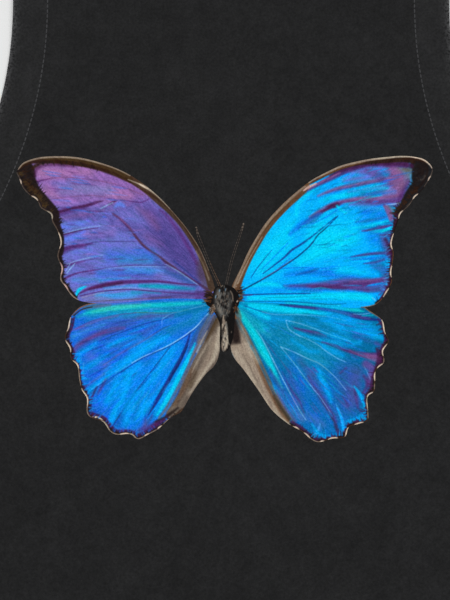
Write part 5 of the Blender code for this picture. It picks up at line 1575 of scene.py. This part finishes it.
# %% Ink finish
RAY_SPACING = 0.020
RAY_LENGTH = 12.0
GRAIN = 1 / (1.6 * PIXEL)


def make_ink():
    material, tree, surface = principled("printed_ink", (0.1, 0.2, 0.5), 0.8, 0.04)
    paint = add(tree, "Attribute", attribute_name="paint").outputs["Color"]
    ray = add(tree, "Attribute", attribute_name="ray").outputs["Fac"]
    reach = add(tree, "Attribute", attribute_name="reach").outputs["Fac"]
    across = calculate(tree, "MULTIPLY", ray, 1 / RAY_SPACING)
    along = calculate(tree, "MULTIPLY", reach, 1 / RAY_LENGTH)
    laid = add(tree, "CombineXYZ", {"X": across, "Y": along}).outputs[0]
    rays = {"Vector": laid, "Scale": 1.0, "Detail": 3.0, "Roughness": 0.6, "Distortion": 0.4}
    rays = add(tree, "TexNoise", rays).outputs["Fac"]
    ribs, _, place = twill_ribs(tree)
    grains = {"Vector": place, "Scale": GRAIN, "Detail": 2.0, "Roughness": 0.7}
    grains = add(tree, "TexNoise", grains).outputs["Fac"]
    light = calculate(tree, "MULTIPLY", scaled(tree, rays, 0.42, 1.62), scaled(tree, grains, 0.46, 1.56))
    light = calculate(tree, "MULTIPLY", light, scaled(tree, ribs, 0.92, 1.09))
    shifted = {"Hue": scaled(tree, rays, 0.47, 0.53), "Saturation": scaled(tree, grains, 1.06, 0.96)}
    shifted = add(tree, "HueSaturation", shifted | {"Value": 1.0, "Fac": 1.0, "Color": paint}).outputs[0]
    tree.links.new(tinted(tree, shifted, light), surface.inputs["Base Color"])
    bump = add(tree, "Bump", {"Height": ribs, "Strength": 0.3, "Distance": 0.00012})
    tree.links.new(bump.outputs[0], surface.inputs["Normal"])
    return material


ink_finish = make_ink()

# %% [markdown]
# A film starts as a fine grid. The points outside the outline are deleted and the rim is moved onto the
# outline, so that the edge is smooth. The rim is then extruded down into the cloth and closed below. The
# strokes are painted onto the points of the finished film, which is finer than a pixel of the photo.

# %% Films of ink
PRINT_STEP = 0.00031 / PIXEL  # in photo pixels
INK_DEPTH = 0.00014
BACK_STEP = 9  # the hidden back of a film is coarser
HINDWING_RISE = 0.00006
FOREWING_RISE = 0.00010
BODY_RISE = 0.00014
ROOT_GAP = 8  # keeps the rays from crowding at the root


def within(xs, ys, outline):
    """Which points of a grid are inside the outline: a table of rows by columns."""
    ring = np.concatenate([outline, outline[:1]])
    a, b = ring[:-1], ring[1:]
    found = np.zeros((len(ys), len(xs)), bool)
    for row, y in enumerate(ys):
        hit = (a[:, 1] <= y) != (b[:, 1] <= y)
        share = (y - a[hit, 1]) / (b[hit, 1] - a[hit, 1])
        crossings = np.sort(a[hit, 0] + share * (b[hit, 0] - a[hit, 0]))
        found[row] = np.searchsorted(crossings, xs) % 2 == 1
    return found


def nearest_on(outline, x, y):
    ring = np.concatenate([outline, outline[:1]])
    best, place = np.inf, (x, y)
    for (ax, ay), (bx, by) in zip(ring, ring[1:]):
        run = (bx - ax) ** 2 + (by - ay) ** 2 + 1e-12
        t = np.clip(((x - ax) * (bx - ax) + (y - ay) * (by - ay)) / run, 0, 1)
        qx, qy = ax + t * (bx - ax), ay + t * (by - ay)
        away = np.hypot(x - qx, y - qy)
        closer = away < best
        best = np.where(closer, away, best)
        place = np.where(closer, qx, place[0]), np.where(closer, qy, place[1])
    return place


def store_paint(mesh, colour):
    layer = mesh.attributes.new("paint", "FLOAT_COLOR", "POINT")
    rgba = np.concatenate([linear(np.clip(colour, 0, 255) / 255), np.ones((len(colour), 1))], 1)
    layer.data.foreach_set("color", rgba.astype(np.float32).ravel())


def print_film(name, points, root, base, strokes, rise):
    outline = closed_curve(points)
    low, high = outline.min(0) - PRINT_STEP, outline.max(0) + PRINT_STEP
    xs = np.arange(low[0], high[0], PRINT_STEP)
    ys = np.arange(low[1], high[1], PRINT_STEP)
    keep = within(xs, ys, outline)
    bm = bmesh.new()
    bmesh.ops.create_grid(bm, x_segments=len(xs) - 1, y_segments=len(ys) - 1, size=1)
    outside = []
    for v in bm.verts:
        column = round((v.co.x + 1) / 2 * (len(xs) - 1))
        row = round((1 - v.co.y) / 2 * (len(ys) - 1))
        v.co = (xs[column], ys[row], 0)
        if not keep[row, column]:
            outside.append(v)
    bmesh.ops.delete(bm, geom=outside, context="VERTS")
    loose = [v for v in bm.verts if not v.link_faces]
    bmesh.ops.delete(bm, geom=loose, context="VERTS")
    rim = [v for v in bm.verts if v.is_boundary]
    rim_x, rim_y = np.array([v.co[:2] for v in rim]).T
    for v, x, y in zip(rim, *nearest_on(outline, rim_x, rim_y)):
        v.co = (x, y, 0)
    edges = [e for e in bm.edges if e.is_boundary]
    for edge in edges:
        edge.smooth = False
    grown = bmesh.ops.extrude_edge_only(bm, edges=edges)["geom"]
    for v in grown:
        if isinstance(v, bmesh.types.BMVert):
            v.co.z = -1
    lower = [e for e in grown if isinstance(e, bmesh.types.BMEdge) and e.is_boundary]
    for edge in lower:
        edge.smooth = False
    back = bmesh.ops.edgeloop_fill(bm, edges=lower)["faces"]
    back = [*back, *lower, *{v for e in lower for v in e.verts}]
    for axis in (0, 1):
        normal = Vector((1, 0, 0)) if axis == 0 else Vector((0, 1, 0))
        for place in np.arange(low[axis], high[axis], BACK_STEP)[1:]:
            cut = bmesh.ops.bisect_plane(bm, geom=back, plane_co=normal * place, plane_no=normal)
            back = cut["geom"]

    mesh = bpy.data.meshes.new(name)
    bm.to_mesh(mesh)
    bm.free()
    px, py, below = points_of(mesh)
    x, y = on_cloth(px, py)
    z = cloth_top(x, y) + np.where(below < 0, -INK_DEPTH, rise)
    mesh.vertices.foreach_set("co", np.stack([x, y, z], 1).astype(np.float32).ravel())
    colour = np.zeros((len(px), 3)) + INKS[base]
    brush(px, py, colour, [*strokes, *hairs()])
    store_paint(mesh, colour)
    store(mesh, "ray", np.arctan2(py - root[1], np.abs(px - root[0]) + ROOT_GAP))
    store(mesh, "reach", np.hypot(px - root[0], py - root[1]))
    mesh.shade_smooth()
    fix = bmesh.new()
    fix.from_mesh(mesh)
    bmesh.ops.recalc_face_normals(fix, faces=fix.faces)
    fix.to_mesh(mesh)
    fix.free()
    film = link_object(name, mesh, ink_finish)
    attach(film, "root")
    print(name, "has", len(mesh.polygons), "faces")


def wing_film(word, outline, ground, root, rise, strokes, pleats, scales, edge):
    painted = [*strokes, *sheen(outline, *pleats), *scale_strokes(outline, scales)]
    painted += edge_strokes(outline, edge)
    print_film(f"butterfly_print_{word}", outline, root, ground, painted, rise)


wing_film("left_hindwing", LEFT_HINDWING, "royal", (213, 302), HINDWING_RISE,
          LEFT_HINDWING_STROKES, LEFT_HINDWING_SHEEN, LEFT_HINDWING_SCALES, LEFT_HINDWING_EDGE)
wing_film("right_hindwing", RIGHT_HINDWING, "deep teal", (236, 303), HINDWING_RISE,
          RIGHT_HINDWING_STROKES, RIGHT_HINDWING_SHEEN, RIGHT_HINDWING_SCALES, RIGHT_HINDWING_EDGE)
wing_film("left_forewing", LEFT_FOREWING, "periwinkle", (212, 291), FOREWING_RISE,
          LEFT_FOREWING_STROKES, LEFT_FOREWING_SHEEN, LEFT_FOREWING_SCALES, LEFT_FOREWING_EDGE)
wing_film("right_forewing", RIGHT_FOREWING, "azure", (237, 291), FOREWING_RISE,
          RIGHT_FOREWING_STROKES, RIGHT_FOREWING_SHEEN, RIGHT_FOREWING_SCALES, RIGHT_FOREWING_EDGE)
print_film("butterfly_print_body", BODY, (225, 300), "black", BODY_STROKES, BODY_RISE)

# %% [markdown]
# The two antennae are too thin for the films' grid. Each one is a pair of very narrow strips, made as the
# tapes are, that run side by side from the head to a small pale club.

# %% Antennae
ANTENNAE = (  # x, y and width in photo pixels, from the tip to the head
    ((196, 227, 1.6), (199, 235, 0.9), (205, 250, 0.7), (212, 267, 0.7), (221, 286, 0.8)),
    ((196.6, 230, 1.6), (198, 238, 0.7), (203.4, 251, 0.7), (210, 267, 0.7), (219, 286, 0.8)),
    ((243.6, 223, 1.6), (242.6, 229, 0.9), (238.6, 242, 0.7), (233, 260, 0.7), (227, 285, 0.8)),
    ((243, 225.6, 1.6), (241, 230, 0.7), (236.8, 242, 0.7), (231, 260, 0.7), (225.4, 285, 0.8)),
)
ANTENNA_INKS = (
    ("taupe", 0.55, 3, (196, 227, 4), (197, 232, 3)),
    ("taupe", 0.55, 3, (243.6, 223, 4), (243, 229, 3)),
    ("orange brown", 0.25, 4, (213, 262, 6), (221, 286, 6)),
)
ANTENNA_COLOUR = (64, 58, 54)
BAND_CONTRAST = 0.28
BAND_PITCH = 3.1  # in photo pixels


def print_antennae():
    bm = bmesh.new()
    for marks in ANTENNAE:
        line = brush_line(marks, steps=16)
        ways = headings(line[:, :2])
        strip = bmesh.new()
        bmesh.ops.create_grid(strip, x_segments=2, y_segments=len(line) - 1, size=1)
        for v in strip.verts:
            i = round((v.co.y + 1) / 2 * (len(line) - 1))
            x, y, width = line[i]
            half = v.co.x * width / 2
            x, y = on_cloth(x + half * ways[i][1], y - half * ways[i][0])
            v.co = (x, y, float(cloth_top(x, y)) + FOREWING_RISE)
        part = bpy.data.meshes.new("strip")
        strip.to_mesh(part)
        strip.free()
        bm.from_mesh(part)
        bpy.data.meshes.remove(part)
    for face in bm.faces:
        face.normal_update()
        if face.normal.z < 0:
            face.normal_flip()
    antennae = solid_sheet(bm, "butterfly_print_antennae", INK_DEPTH, ink_finish)
    mesh = antennae.data
    x, y, _ = points_of(mesh)
    px, py = x / PIXEL + CENTRE_LINE_PIXEL, (ARMHOLE_TOP - y) / PIXEL
    colour = np.zeros((len(px), 3)) + ANTENNA_COLOUR
    brush(px, py, colour, ANTENNA_INKS)
    colour *= (1 + BAND_CONTRAST * np.sin(2 * np.pi * py / BAND_PITCH))[:, None]
    store_paint(mesh, colour)
    store(mesh, "ray", px / 200)
    store(mesh, "reach", py)
    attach(antennae, "root")


print_antennae()
